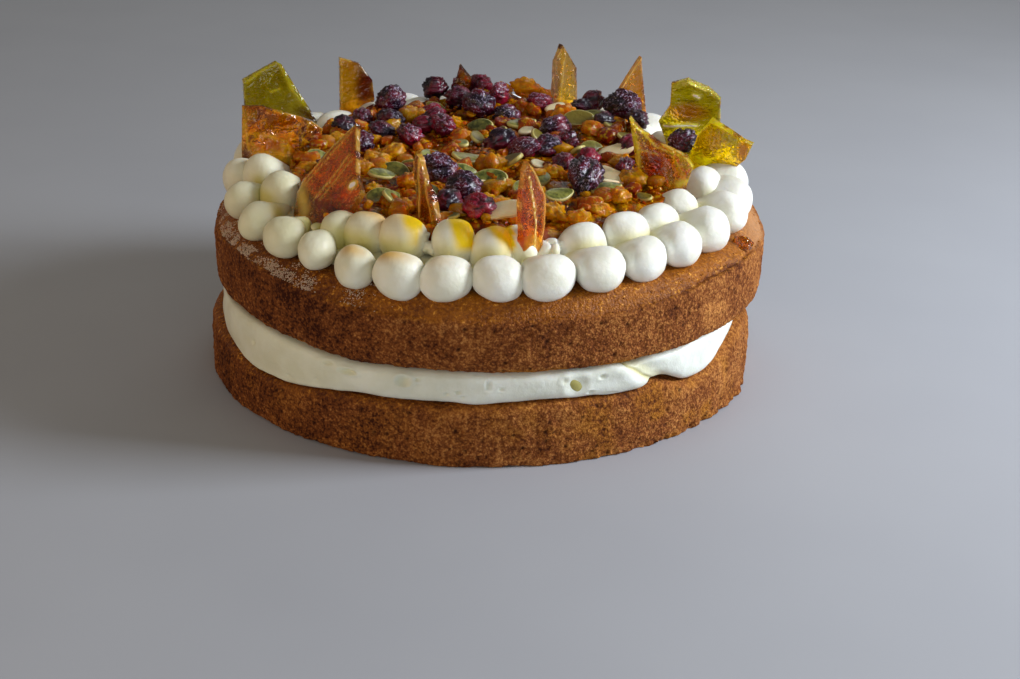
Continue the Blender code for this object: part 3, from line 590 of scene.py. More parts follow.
def sponge_material(name):
    """Baked crumb: bright grains between dark pores, partly its own colour and partly painted shade, gold in
    places, smoother on the crust, which has painted glints.
    """
    paint = Paint(name)
    grain = paint.noise(0.0008, 3.0, 0.7)
    patch = paint.noise(0.0045, 2.0)
    cells = paint.remap(paint.specks(0.0010), 0.10, 0.70, 0.0, 0.55)
    relief = paint.math("SUBTRACT", paint.remap(grain, 0.33, 0.67), cells)
    rough = paint.remap("crust", 0.0, 1.0, 1.0, 0.75)
    light = paint.math("MULTIPLY", paint.remap(relief, -0.45, 0.85, -0.40, 0.40), rough)
    light = paint.math("ADD", light, "tone", paint.remap(patch, 0.3, 0.7, -0.14, 0.12),
                       paint.remap(paint.noise(0.016, 2.0), 0.35, 0.65, -0.09, 0.06))
    # Lighter on the raised crumb, darker in its low cells: partly the crumb's own colour, partly painted
    # shade.
    paint.colour = paint.mix(paint.remap(light, 0.0, 0.5), (58, 22, 9), (130, 72, 32))
    paint.over(paint.remap(light, 0.5, 1.05), (202, 136, 72))
    paint.over(paint.math("MULTIPLY", "gold", paint.remap(light, 0.15, 0.75)), (178, 114, 24))
    skin = paint.mix(paint.remap(light, 0.05, 0.85), (88, 36, 4), (174, 102, 14))
    # Painted glints: bright specks on the crust.
    painted_glint = paint.math("MULTIPLY", paint.remap(grain, 0.58, 0.68), paint.remap(patch, 0.42, 0.6, 0.2, 1.0))
    skin = paint.mix("pale", paint.mix(painted_glint, skin, (236, 164, 60)), (210, 158, 112))
    paint.over("crust", skin)
    # Painted shade: dark in the pores.
    paint.over("pore", (50, 20, 10))
    paint.bump(paint.math("MULTIPLY", relief, rough), 0.0005, 0.8)
    return paint.finish(Roughness=paint.remap("crust", 0.0, 1.0, 0.85, 0.42),
                        Specular_IOR_Level=paint.remap("crust", 0.0, 1.0, 0.12, 0.22))


def cream_material(name, shade, light):
    """Soft buttercream with painted warm shade in its hollows, painted yellow light from the brittle, and
    ochre that is partly glaze and partly painted shade.
    """
    paint = Paint(name)
    paint.colour = paint.mix(paint.remap(paint.noise(0.006, 3.0), 0.35, 0.65), shade, light)
    # Painted shade: warm beige in hollows and creases and on the side away from the window.
    paint.over("fold", (210, 200, 122))
    # Painted light: yellow light shone through the brittle.
    paint.over("yellow", (255, 216, 0))
    # Ochre: partly glaze that has run, partly painted shade.
    paint.over("ochre", (224, 170, 44))
    paint.bump(paint.noise(0.0013, 4.0, 0.6), 0.0004, 0.7)
    return paint.finish(Roughness=0.42, Specular_IOR_Level=0.35, Subsurface_Scale=0.002,
                        Subsurface_Weight=paint.remap("yellow", 0.0, 1.0, 0.25, 0.04),
                        Subsurface_Radius=(1.0, 0.85, 0.6))


def glaze_material(name):
    """Sticky amber glaze with candied peel in it."""
    paint = Paint(name)
    grain = paint.noise(0.0010, 3.0, 0.6)
    draw = paint.math("ADD", "draw", paint.remap(paint.noise(0.005, 2.0), 0.35, 0.65, -0.30, 0.25))
    paint.colour = paint.mix(paint.remap(draw, 0.0, 0.45), (152, 38, 0), (236, 110, 0))
    paint.over(paint.remap(draw, 0.45, 1.0), (255, 176, 0))
    # Bright yellow specks: partly sugar grains, partly painted sparkle.
    paint.over(paint.remap(grain, 0.52, 0.66), (255, 202, 24))
    paint.over(paint.remap(paint.noise(0.0026, 2.0, 0.6), 0.54, 0.70, 0.0, 0.50), (146, 44, 2))
    # Painted shade where deep is high: in gaps between lumps and at the heap's foot; loose crumbs are only
    # darkened a little at random.
    paint.over("deep", (46, 12, 2))
    lumps = paint.math("MULTIPLY", paint.noise(0.0016, 2.0), 2.0)
    paint.bump(paint.math("ADD", grain, lumps, paint.noise(0.00045, 2.0)), 0.00032, 0.9)
    return paint.finish(Roughness=0.10, Transmission_Weight=0.50, IOR=1.40, Subsurface_Weight=0.2,
                        Subsurface_Scale=0.002, Specular_IOR_Level=0.14, Coat_Weight=0.10,
                        Coat_Roughness=0.03)


def berry_material(name):
    """Dried berries from crimson to near black, with painted shade, near black, in their folds and sugar dust
    on some.
    """
    paint = Paint(name)
    grain = paint.noise(0.0009, 3.0, 0.6)
    dark = paint.math("ADD", "dark", paint.remap(paint.noise(0.0042, 2.0), 0.36, 0.64, -0.40, 0.30))
    frost = paint.math("MULTIPLY", "frost", paint.remap(paint.noise(0.0005, 3.0, 0.7), 0.55, 0.61))
    paint.colour = paint.mix(grain, (84, 2, 24), (176, 16, 54))
    paint.over(dark, paint.mix(grain, (8, 3, 16), (40, 8, 38)))
    # Painted shade: near black in the folds.
    paint.over("fold", (8, 3, 7))
    paint.over(frost, (212, 192, 224))
    paint.bump(paint.math("ADD", grain, frost), 0.0005, 0.9)
    return paint.finish(Roughness=0.30, Specular_IOR_Level=0.35, Coat_Weight=0.25, Coat_Roughness=0.10)


def seed_material(name):
    """Green pumpkin seeds with a pale rim."""
    paint = Paint(name)
    streak = paint.noise(0.0012, 3.0, 0.6)
    paint.colour = paint.mix(paint.remap(streak, 0.38, 0.62), (64, 74, 16), (142, 142, 62))
    paint.over("draw", (116, 100, 30))
    paint.over("rim", (206, 190, 112))
    paint.bump(streak, 0.0005, 0.8)
    return paint.finish(Roughness=0.38, Coat_Weight=0.25, Coat_Roughness=0.2)


def flake_material(name):
    """Slivers of nut: cream with tan edges."""
    paint = Paint(name)
    grain = paint.noise(0.0015, 3.0)
    paint.colour = paint.mix(grain, (226, 200, 144), (250, 240, 208))
    paint.over("rim", (172, 116, 58))
    paint.bump(grain, 0.0002, 0.5)
    return paint.finish(Roughness=0.5, Subsurface_Weight=0.15, Subsurface_Scale=0.002)


def sugar_material(name):
    """Grains of sugar."""
    paint = Paint(name)
    paint.colour = paint.mix(paint.noise(0.0015, 2.0), (206, 164, 132), (244, 218, 194))
    return paint.finish(Roughness=0.35, Transmission_Weight=0.25, Subsurface_Weight=0.2,
                        Subsurface_Scale=0.001)


def brittle_material(name, thin, thick, dark, painted_highlight):
    """Caramelised sugar, tinted unevenly, with darker places, painted shade along parts of its rim, and
    painted highlights and glow on edges and ridges, white at the strongest.
    """
    paint = Paint(name)
    cloud = paint.math("ADD", paint.noise(0.006, 4.0, 0.6, 0.8), "facet")
    # Where the painted highlight is strongest it is painted white, as a glint.
    painted_white_glint = paint.remap("edge", 1.05, 1.5)
    clear = paint.math("SUBTRACT", paint.remap("edge", 0.0, 1.0, 0.96, 0.45), painted_white_glint)
    paint.colour = paint.mix(paint.remap(cloud, 0.28, 0.72), thick, thin)
    paint.over("spot", dark)
    # Painted highlights and glow: bright lines, veins and rims, with less transmission there.
    paint.over("edge", painted_highlight)
    paint.over(painted_white_glint, (252, 244, 240))
    paint.bump(paint.math("ADD", paint.noise(0.0026, 3.0), paint.noise(0.0008, 1.0)), 0.0006, 0.9)
    return paint.finish(Roughness=0.04, Transmission_Weight=paint.remap(clear, 0.0, 1.0), IOR=1.49,
                        Specular_IOR_Level=0.28, Subsurface_Weight=0.3, Subsurface_Scale=0.002)


def floor_material(name):
    """Pale matt table top with the faintest mottling."""
    paint = Paint(name)
    paint.colour = paint.mix(paint.noise(0.05, 2.0), (172, 174, 181), (180, 182, 188))
    return paint.finish(Roughness=0.6)


# ---- sponges and filling ----
def shifted(angle, shift):
    """How far a sponge that sits off centre reaches further out at an angle."""
    return shift * np.cos(np.radians(angle))


def filling_low(angle):
    """Height of the lower seam at the edge."""
    return FILLING_LOW + bumps(angle, FILLING_LOW_BUMPS)


def filling_high(angle):
    """Height of the upper seam at the edge."""
    return FILLING_HIGH + bumps(angle, FILLING_HIGH_BUMPS)


def slope_rise(angle, radius):
    """Rise of the sloping top at a place."""
    return CROWN_SLOPE * radius * np.sin(np.radians(angle))


def crust_rim(angle):
    """Height at which the top sponge's side ends."""
    return CRUST_RIM + bumps(angle, CRUST_RIM_BUMPS) + slope_rise(angle, CAKE_RADIUS)


def crown_height(angle, radius):
    """Height of the sloping crown."""
    return CROWN + slope_rise(angle, radius)


def turned_grid(rings, spans, columns):
    """Grid of points on a smooth surface through the (radius, height) pairs that rings gives."""
    angle = np.linspace(0.0, 360.0, columns, endpoint=False)
    flat = 0.0 * angle
    knots = [np.stack((radius + flat, height + flat), axis=-1) for radius, height in rings(angle)]
    knots = [2.0 * knots[0] - knots[1]] + knots + [2.0 * knots[-1] - knots[-2]]
    rows = []
    for index, count in enumerate(spans):
        before, first, second, beyond = knots[index:index + 4]
        for step in range(count):
            t = step / count
            rows.append(0.5 * (2.0 * first + (second - before) * t
                               + (2.0 * before - 5.0 * first + 4.0 * second - beyond) * t ** 2
                               + (3.0 * (first - second) + beyond - before) * t ** 3))
    rows.append(knots[-2])
    radius, height = np.moveaxis(np.array(rows), -1, 0)
    turn = np.radians(angle)[None, :]
    return np.stack((radius * np.cos(turn), radius * np.sin(turn), height), axis=-1)


def grid_normals(grid):
    """Outward direction at each point of a turned grid."""
    around = np.roll(grid, -1, axis=1) - np.roll(grid, 1, axis=1)
    up = np.gradient(grid, axis=0)
    normal = np.cross(around, up)
    return normal / np.maximum(np.linalg.norm(normal, axis=-1, keepdims=True), 1e-12)


def grid_object(name, grid, low, high, values, material):
    """Closed object from a turned grid, with a flat fan at each end."""
    rows, columns = grid.shape[:2]
    points = np.vstack((grid.reshape(-1, 3), [(0.0, 0.0, low), (0.0, 0.0, high)]))
    obj = mesh_object(name, points, closed_faces(rows, columns), material)
    set_values(obj, {key: np.append(value.ravel(), (0.0, 0.0)) for key, value in values.items()})
    return obj


def crumb_surface(grid, crust, seed):
    """Grid with the relief of baked crumb, and how deep in a pore each point lies."""
    distance, draw = scattered(grid, 0.0030, seed)
    reach = 0.15 + 0.28 * ((7.0 * draw) % 1.0)
    pore = (draw > 0.56) * (1.0 - ramp(distance, 0.2 * reach, reach)) * (1.0 - 0.85 * crust)
    open_crumb = 1.0 - 0.75 * crust
    fine = 0.00030 * noise(grid, 0.0019, seed + 13) + 0.00020 * noise(grid, 0.0011, seed + 14)
    relief = 0.00045 * noise(grid, 0.014, seed + 11) + 0.00025 * noise(grid, 0.0045, seed + 12) * open_crumb
    relief += fine * open_crumb
    relief -= 0.00060 * pore
    return grid + grid_normals(grid) * relief[..., None], pore


def tone_round(angle):
    """How light the sponge's colour is round the cake: dark at the left, light at the right."""
    return 0.60 - 0.24 * bell(angle, 226.0, 17.0) + 0.07 * bell(angle, 342.0, 20.0)


def bottom_rings(angle):
    """Rings of the lower sponge, from its foot to the seam."""
    edge = CAKE_RADIUS + bumps(angle, BOTTOM_RADIUS_BUMPS) + shifted(angle, BOTTOM_SHIFT)
    foot = bell(angle, 338.0, 6.0)
    seam = filling_low(angle)
    return (
        (edge - (0.0014 - 0.0012 * foot), 0.0),
        (edge - (0.0003 - 0.0014 * foot), 0.0010),
        (edge - 0.0001, 0.0050),
        (edge, 0.5 * seam),
        (edge - 0.0004, seam - 0.0034),
        (edge - 0.0026, seam - 0.0006 + 0.0012 * bell(angle, 352.0, 10.0)),
        (0.1070, seam),
        (CORE_RADIUS, FILLING_LOW),
    )


def build_bottom_sponge(material):
    """Lower sponge, with a ragged foot at the front right."""
    grid = turned_grid(bottom_rings, (5, 6, 12, 12, 7, 5, 3), COLUMNS)
    angle = angle_of(grid)
    height = grid[..., 2]
    skin = ramp(height, filling_low(angle) - 0.0040, filling_low(angle) - 0.0012)
    skin *= 0.35 + 0.5 * bell(angle, 215, 30)
    ragged = bell(angle, 318.0, 22.0) * (1.0 - ramp(height, 0.0, 0.0055))
    shape, pore = crumb_surface(grid, skin, 40)
    flat = grid * (1, 1, 0)
    bite = np.clip(noise(flat, 0.0048, 52) + 0.5 * noise(flat, 0.0019, 53) + 0.25, 0.0, 1.0)
    shape -= flat / CAKE_RADIUS * (0.0026 * bite * ragged)[..., None]
    shape[..., 2] = np.maximum(shape[..., 2], 0.0)
    tone = tone_round(angle) + 0.10 * noise(grid, 0.012, 54)
    gold = ramp(noise(grid, 0.007, 55), -0.3, 0.9) * (0.25 + 0.45 * bell(angle, 315.0, 18.0))
    values = {"tone": tone, "crust": skin, "pore": pore, "gold": gold, "pale": 0.0 * tone}
    return grid_object("bottom_sponge_crumb", shape, 0.0, FILLING_LOW, values, material)


def top_rings(angle):
    """Rings of the upper sponge, from the seam over its crust to under the border."""
    edge = CAKE_RADIUS + shifted(angle, TOP_SHIFT)
    seam = filling_high(angle)
    rim = crust_rim(angle)
    sag = bell(angle, 352.0, 10.0)
    return (
        (CORE_RADIUS, FILLING_HIGH),
        (SEAM_RADIUS, seam),
        (edge - (0.0016 + 0.0014 * sag), seam + 0.0006 - 0.0020 * sag),
        (edge - 0.0001, seam + 0.0036),
        (edge + 0.0002, 0.5 * (seam + rim)),
        (edge + 0.0001, rim - 0.0012),
        (edge - 0.0014, rim + 0.0006),
        (edge - 0.0038, 0.45 * rim + 0.55 * crown_height(angle, CAKE_RADIUS)),
        (edge - 0.0082, crown_height(angle, edge - 0.0082)),
        (CORE_RADIUS, crown_height(angle, CORE_RADIUS)),
        (0.0800, crown_height(angle, 0.0800)),
    )


def build_top_sponge(material):
    """Upper sponge: crumbly side, a crease on the right, and a smooth crust that rolls in."""
    grid = turned_grid(top_rings, (2, 4, 5, 11, 13, 3, 7, 8, 6, 1), COLUMNS)
    angle = angle_of(grid)
    height = grid[..., 2]
    rim = crust_rim(angle) + 0.0008 * noise(grid * (1, 1, 0), 0.006, 61)
    crust = ramp(height, rim - 0.0012, rim + 0.0012)
    shape, pore = crumb_surface(grid, crust, 70)
    crease = bell(angle, 324.0, 13.0) * np.exp(-((height - rim - 0.0006) / 0.0006) ** 2)
    shape -= grid_normals(grid) * (0.0014 * crease)[..., None]
    # Painted shade: darker tone in the crease on the right.
    tone = tone_round(angle) + 0.10 * noise(grid, 0.012, 81) - 0.40 * crease
    edge = 1.0 - ramp(height, filling_high(angle) + 0.0004, filling_high(angle) + 0.0024)
    gold = np.clip(edge * ramp(noise(grid, 0.010, 82), -0.2, 0.35), 0.0, 1.0)
    gold = np.maximum(gold, 0.7 * crust * ramp(noise(grid, 0.007, 83), 0.1, 0.6))
    pale = 0.55 * crust * bell(angle, 352.0, 9.0) * (1.0 - crease)
    values = {"tone": tone, "crust": crust, "pore": pore, "gold": gold, "pale": np.clip(pale, 0.0, 1.0)}
    return grid_object("top_sponge_crumb", shape, FILLING_HIGH, CROWN, values, material)


def filling_rings(angle):
    """Rings of the filling, from the lower seam to the upper one."""
    edge = CAKE_RADIUS - 0.0008 + bumps(angle, FILLING_RADIUS_BUMPS)
    low = filling_low(angle)
    high = filling_high(angle)
    return (
        (CORE_RADIUS, FILLING_LOW + GAP),
        (SEAM_RADIUS, low + GAP),
        (edge - (0.0022 - 0.0016 * bell(angle, 222.0, 16.0)), low + GAP + 0.0004),
        (edge - 0.0003, low + 0.0032),
        (edge, 0.5 * (low + high)),
        (edge - 0.0008, high - 0.0022),
        (SEAM_RADIUS, high - GAP),
        (CORE_RADIUS, FILLING_HIGH - GAP),
    )


def dent_reach(angle, height, place, level, wide, tall):
    """Square of the distance from a dent in the filling, in half sizes of the dent."""
    along = np.radians(apart(angle, place)) * CAKE_RADIUS / (wide * MM)
    up = (height - level * MM) / (tall * MM)
    return along ** 2 + up ** 2


def build_filling(material):
    """Cream between the sponges: smoothed side with dents, pits and the seam where its ring ends; painted
    shade lies in the dents, at the seam and on the left.
    """
    grid = turned_grid(filling_rings, (2, 4, 8, 12, 12, 7, 2), FILLING_COLUMNS)
    angle = angle_of(grid)
    height = grid[..., 2]
    relief = 0.0005 * noise(grid, 0.011, 91) + 0.00012 * noise(grid, 0.004, 92)
    dent_shade = 0.0 * height
    for *place, depth in FILLING_DENTS:
        reach = dent_reach(angle, height, *place)
        dent = np.exp(-reach ** 1.5)
        relief -= 1.3 * depth * MM * dent
        dent_shade += 0.14 * dent
        relief += 0.30 * depth * MM * np.exp(-((np.sqrt(reach) - 1.5) / 0.35) ** 2)
    distance, draw = scattered(grid, 0.0045, 95)
    relief -= 0.0006 * (draw > 0.80) * (1.0 - ramp(distance, 0.03, 0.16))
    centre = 0.5 * (filling_low(FILLING_FOLD) + filling_high(FILLING_FOLD))
    slant = (height - centre) / (FILLING_HIGH - FILLING_LOW)
    offset = apart(angle, FILLING_FOLD) + 9.0 * slant
    crease = np.exp(-(offset / 0.55) ** 2) * ramp(slant, -0.62, -0.2)
    relief += bell(offset, -2.6, 2.0) * 0.0010 - bell(offset, 2.6, 2.6) * 0.0018 - 0.0012 * crease
    shape = grid + grid_normals(grid) * relief[..., None]
    # Painted shade: warmer, darker cream on the left, away from the window, along the seam's crease and
    # beside it, and in the dents.
    fold = 0.30 * bell(angle, 226.0, 24.0) + 0.6 * crease + 0.45 * bell(offset, 1.8, 1.8) + dent_shade
    values = {"fold": np.clip(fold, 0.0, 1.0), "yellow": 0.0 * fold, "ochre": 0.0 * fold}
    return grid_object("filling_buttercream", shape, FILLING_LOW + GAP, FILLING_HIGH - GAP, values, material)


def build_fruit_bit(material):
    """Small bit of candied fruit that shows in the filling's largest dent."""
    directions, faces = ball(12, 18)
    shape = directions * (0.0011, 0.0027, 0.0052) * (1.0 + 0.16 * noise(directions, 0.7, 5))[:, None]
    angle, height = FRUIT_BIT
    points = posed(shape, polar(angle, CAKE_RADIUS - 0.0019, height * MM), angle, 42.0)
    return joined("filling_fruit_bit", [(points, faces, {})], material)


# ---- piped border ----
def full_row(placed, back, distance):
    """A whole row: the placed dollops, and evenly spaced ones round the back."""
    first, last, count = back
    wide = 0.53 * math.radians((last - first) / (count - 1)) * distance
    return list(placed) + [(angle, distance, wide) for angle in np.linspace(first, last, count)]


def dollops():
    """Every dollop as (row, angle, radius, half sizes, height of its centre)."""
    draw = random.Random(7)
    result = []
    for row, (placed, back, distance, half, height) in ROWS.items():
        for angle, radius, wide in full_row(placed, back, distance):
            lift = draw.uniform(-0.0005, 0.0005) - 0.0003 * max(0.0, radius - 102.5)
            sizes = [half[0] * draw.uniform(0.94, 1.06), wide * MM, half[2] * draw.uniform(0.95, 1.04)]
            if row == "inner":
                lift += INNER_LIFTS.get(angle, 0.0) * MM
            if row == "inner" and angle == SMEARED_ANGLE:
                sizes[2] *= 0.55
                lift = -0.0055
            if wide < NARROW_DOLLOP:
                sizes[2] *= 0.90
            result.append((row, angle, radius * MM, sizes, height + lift))
    return result


def dollop_points(dollop, directions, seed):
    """Ball of cream drawn out to a tail that points to the cake's axis and a little left of it."""
    row, angle, radius, half, height = dollop
    tail, drop, veer = TAILS[row]
    draw = random.Random(seed)
    inward = np.maximum(0.0, directions[:, 0])
    narrow = 1.0 - 0.42 * inward ** 1.6
    squat = directions[:, 2] * (1.0 - 0.10 * np.abs(directions[:, 2]) ** 3)
    shape = np.stack((directions[:, 0] + tail * inward ** 2.4, directions[:, 1] * narrow,
                      squat * narrow - drop * inward ** 2), axis=-1)
    shape[:, 1] += draw.uniform(-0.28, 0.28) * inward ** 2
    place = directions + np.array((3.1 * seed, 1.7 * seed, 0.9 * seed))
    swell = 1.0 + 0.095 * noise(place, 1.1, seed) + 0.026 * noise(place, 0.38, seed)
    shape = shape * np.array(half) * swell[:, None]
    lean = draw.uniform(-7.0, 7.0)
    turn = angle + 180.0 + draw.uniform(-9.0, 9.0) + veer
    return posed(shape, polar(angle, radius, height), turn, lean)


def band_part():
    """Ring of cream under both rows."""
    inner, outer, top = BAND
    section = ((inner, DECK - 0.001), (outer, DECK - 0.001), (outer, top), (inner, top))
    sides = 60
    points = [polar(6.0 * side, radius, height) for side in range(sides) for radius, height in section]
    here = np.arange(4 * sides).reshape(sides, 4)
    ahead = np.roll(here, -1, axis=0)
    faces = np.stack((here, ahead, np.roll(ahead, -1, axis=1), np.roll(here, -1, axis=1)), axis=-1)
    return points, faces.reshape(-1, 4).tolist()


def union(name, parts):
    """One closed mesh from overlapping closed parts."""
    group = bpy.data.collections.new("cream_parts")
    bpy.context.scene.collection.children.link(group)
    objects = [mesh_object("cream_part", points, faces) for points, faces in parts]
    base = objects[0]
    base.name = name
    for obj in objects[1:]:
        bpy.context.scene.collection.objects.unlink(obj)
        group.objects.link(obj)
    modifier = base.modifiers.new("Union", "BOOLEAN")
    modifier.operation = "UNION"
    modifier.operand_type = "COLLECTION"
    modifier.collection = group
    modifier.solver = "MANIFOLD"
    bpy.context.view_layer.update()
    evaluated = base.evaluated_get(bpy.context.evaluated_depsgraph_get())
    mesh = bpy.data.meshes.new_from_object(evaluated)
    base.modifiers.clear()
    base.data = mesh
    for obj in objects[1:]:
        bpy.data.objects.remove(obj, do_unlink=True)
    bpy.data.collections.remove(group)
    return base


def torn_parts():
    """Torn scraps and curls of cream where brittle was pushed in."""
    draw = random.Random(5)
    directions, faces = ball(9, 14)
    parts = []
    for index, (angle, radius, height, size, lean) in enumerate(TORN_CREAM):
        shape = directions * (0.80, 0.60, 1.00)
        shape[:, 0] += directions[:, 2] ** 2 * 0.5
        shape = shape * size * MM * (1.0 + 0.18 * noise(directions, 0.6, 300 + index))[:, None]
        centre = polar(angle, radius * MM, height * MM)
        parts.append((posed(shape, centre, draw.uniform(0, 360), lean, draw.uniform(-20, 20)), faces))
    return parts


def build_border(material):
    """Two rows of dollops fused into one ring, with creases where they meet."""
    directions, faces = ball(20, 34)
    # The ball's poles lie level, across the dollop, so that its top is evenly meshed.
    directions = directions[:, (0, 2, 1)] * (1, -1, 1)
    parts = [(dollop_points(dollop, directions, index), faces) for index, dollop in enumerate(dollops())]
    border = union("border_dollops", parts + [band_part()] + torn_parts())
    points = settle(get_points(border))
    angle = angle_of(points)
    radius = np.linalg.norm(points[:, :2], axis=1)
    deck = DECK + CROWN_SLOPE * points[:, 1]
    points[:, 2] = np.maximum(points[:, 2], deck - 0.0012 - 0.0030 * ramp(radius, 0.1060, 0.1120))
    border.data.vertices.foreach_set("co", points.ravel())
    shade(border.data, material, 50.0)
    # Painted on the cream: shade between the rows and on the left, yellow light from the brittle, and ochre
    # that is partly glaze and partly shade.
    painted_light_and_stains = {"fold": cream_painted_shade, "yellow": cream_painted_yellow_light, "ochre": cream_ochre_and_shade}
    set_values(border, {name: share(points[:, 2], angle, radius) for name, share in painted_light_and_stains.items()})
    return border


def cream_painted_shade(height, angle, radius):
    """Painted shade: warmer, darker cream in the valley between the rows and on the side away from the
    window.
    """
    valley = np.exp(-((radius - 0.0945) / 0.0030) ** 2) * (1.0 - ramp(height, 0.079, 0.085))
    return np.clip(0.65 * valley + 0.50 * bell(angle, 213.0, 30.0), 0.0, 1.0)


def cream_painted_yellow_light(height, angle, radius):
    """Painted yellow light, shone through the brittle, on the right-hand tops of three inner dollops."""
    total = 0.0 * angle
    for centre, width, strength in YELLOW_PAINTED_LIGHT:
        start = centre + 300.0 * np.maximum(0.0, radius - 0.082)
        side = ramp(angle, start - 3.4, start - 0.8)
        side *= 1.0 - ramp(angle, centre + width, centre + width + 0.5)
        total += 1.4 * strength * side * (1.0 - ramp(radius, 0.0890, 0.0955)) * ramp(height, 0.0765, 0.0810)
    return np.clip(total, 0.0, 1.0)


def cream_ochre_and_shade(height, angle, radius):
    """Faint ochre, partly where crumbs of glaze have run and partly painted shade on the outer dollops' tops.
    """
    total = 0.0 * angle
    for centre, place, width, strength in OCHRE_STAINS_AND_SHADE:
        total += strength * bell(angle, centre, width) * np.exp(-((radius - place) / 0.0052) ** 2)
    return np.clip(total, 0.0, 1.0) * ramp(height, 0.0770, 0.0815)


# ---- heap ----
def heap_height(x, y):
    """Height of the glaze, gently uneven and piled up at the back."""
    ripple = np.sin(95.0 * x + 1.0) * np.cos(80.0 * y) + 0.6 * np.sin(170.0 * (x + y))
    return HEAP_TOP + 0.0011 * ripple + HEAP_BACK_RISE * np.maximum(0.0, y) / HEAP_RADIUS


def build_heap_core(material):
    """Lumpy glaze that fills the ring."""
    rows = 110
    columns = 420
    share = np.linspace(1.0, 0.0, rows, endpoint=False)[:, None]
    turn = np.linspace(0.0, 2.0 * math.pi, columns, endpoint=False)[None, :]
    x = HEAP_RADIUS * share * np.cos(turn)
    y = HEAP_RADIUS * share * np.sin(turn)
    flat = np.stack((x, y, 0.0 * x), axis=-1)
    cobbles, draw = scattered(flat, 0.0036, 400)
    small, small_draw = scattered(flat, 0.0016, 410)
    height = heap_height(x, y) - 0.0010
    height = height + 0.0016 * noise(flat, 0.009, 420) + 0.0018 * (0.7 - cobbles) * draw
    height = height + 0.0006 * (0.7 - small)
    foot = np.stack((x[:1], y[:1], 0.0 * x[:1] + DECK), axis=-1)
    grid = np.concatenate((foot, np.stack((x, y, height), axis=-1)), axis=0)
    tone = np.clip(draw * 0.7 + 0.3 * small_draw, 0.0, 1.0)
    # deep: painted shade in the gaps between cobbles, and full at the foot under the border.
    values = {"deep": np.concatenate((np.ones((1, columns)), ramp(cobbles, 0.35, 0.8) * 0.8), axis=0),
              "draw": np.concatenate((np.zeros((1, columns)), tone), axis=0)}
    return grid_object("heap_glaze", settle(grid), DECK, heap_height(0.0, 0.0), values, material)


def berry_part(draw, centre, size, turn, dark):
    """Dried berry, shrunk into sharp folds."""
    directions, faces = ball(22, 34)
    seed = draw.randrange(1000)
    along = directions * (0.55, 1.35, 1.35)
    broad = np.sqrt(np.abs(noise(along, 0.58, seed)))
    fine = 1.0 - np.abs(noise(along, 0.26, seed + 1)) ** 0.7
    swell = 0.66 + 0.38 * broad + 0.26 * fine + 0.05 * noise(directions, 0.13, seed + 2)
    swell += 0.14 * noise(directions, 1.1, seed + 3)
    stretch = (draw.uniform(0.9, 1.15), draw.uniform(0.8, 1.1), draw.uniform(0.8, 1.05))
    shape = directions * np.array(HALF_SIZES["berry"]) * stretch * size * swell[:, None]
    frost = max(draw.random() ** 1.4, 4.0 * (size - 1.2))
    frost = frost * ramp(directions[:, 2], -0.7, 0.2) * ramp(broad, 0.2, 0.5)
    points = posed(shape, centre, turn, draw.uniform(-25, 25), draw.uniform(-20, 20))
    # The last value marks the folds for painted shade.
    return settle(points), faces, {"dark": dark, "frost": frost, "fold": 1.0 - ramp(broad, 0.12, 0.45)}


def chunk_part(draw, centre, size, turn):
    """Cobbled lump of candied peel."""
    directions, faces = ball(18, 28)
    seed = draw.randrange(1000)
    distance, spot_draw = scattered(directions + seed, 0.48, seed)
    swell = 0.80 + 0.24 * noise(directions, 0.9, seed + 5) + 0.40 * (0.75 - distance) * (0.5 + spot_draw)
    stretch = (draw.uniform(0.9, 1.15), draw.uniform(0.85, 1.1), draw.uniform(0.85, 1.15))
    shape = directions * np.array(HALF_SIZES["chunk"]) * stretch * size * swell[:, None]
    points = posed(shape, centre, turn, draw.uniform(-15, 15), draw.uniform(-15, 15))
    tone = np.clip(draw.uniform(0.75, 1.0) + 0.35 * (spot_draw - 0.5), 0.0, 1.0)
    # deep: painted shade between the lump's cobbles.
    return settle(points), faces, {"draw": tone, "deep": ramp(distance, 0.5, 0.85) * 0.45}


def seed_part(draw, centre, size, turn):
    """Flat pointed seed with a raised rim."""
    directions, faces = ball(11, 24)
    half = HALF_SIZES["seed"]
    width = 1.0 - 0.38 * np.maximum(0.0, directions[:, 0]) ** 1.5
    flatness = boxier(directions[:, 2], 0.6)
    around = np.linalg.norm(directions[:, :2], axis=1)
    rim = np.exp(-((around - 0.93) / 0.06) ** 2)
    shape = np.stack((directions[:, 0], directions[:, 1] * width, flatness * (1.0 + 0.25 * rim)), axis=-1)
    shape = shape * np.array(half) * size
    shape[:, 2] += draw.uniform(-0.10, 0.16) * (shape[:, 0] ** 2) / half[0]
    facing = 1.0 if math.cos(math.radians(turn)) > 0.0 else -1.0
    points = posed(shape, centre, turn, facing * draw.uniform(5, 52), draw.uniform(-24, 24))
    return settle(points), faces, {"rim": ramp(around, 0.86, 0.98), "draw": draw.random() ** 2}


def flake_part(draw, centre, size, turn):
    """Thin sliver of nut with a broken outline."""
    directions, faces = ball(7, 22)
    outline = 1.0 + 0.28 * noise(directions * (1, 1, 0), 0.8, draw.randrange(1000))
    shape = np.stack((directions[:, 0] * outline, directions[:, 1] * outline,
                      boxier(directions[:, 2], 0.35)), axis=-1)
    shape = shape * np.array(HALF_SIZES["flake"]) * size
    around = np.linalg.norm(directions[:, :2], axis=1)
    points = posed(shape, centre, turn, draw.uniform(-30, 30), draw.uniform(-22, 22))
    return settle(points), faces, {"rim": ramp(around, 0.90, 1.0) * 0.8}


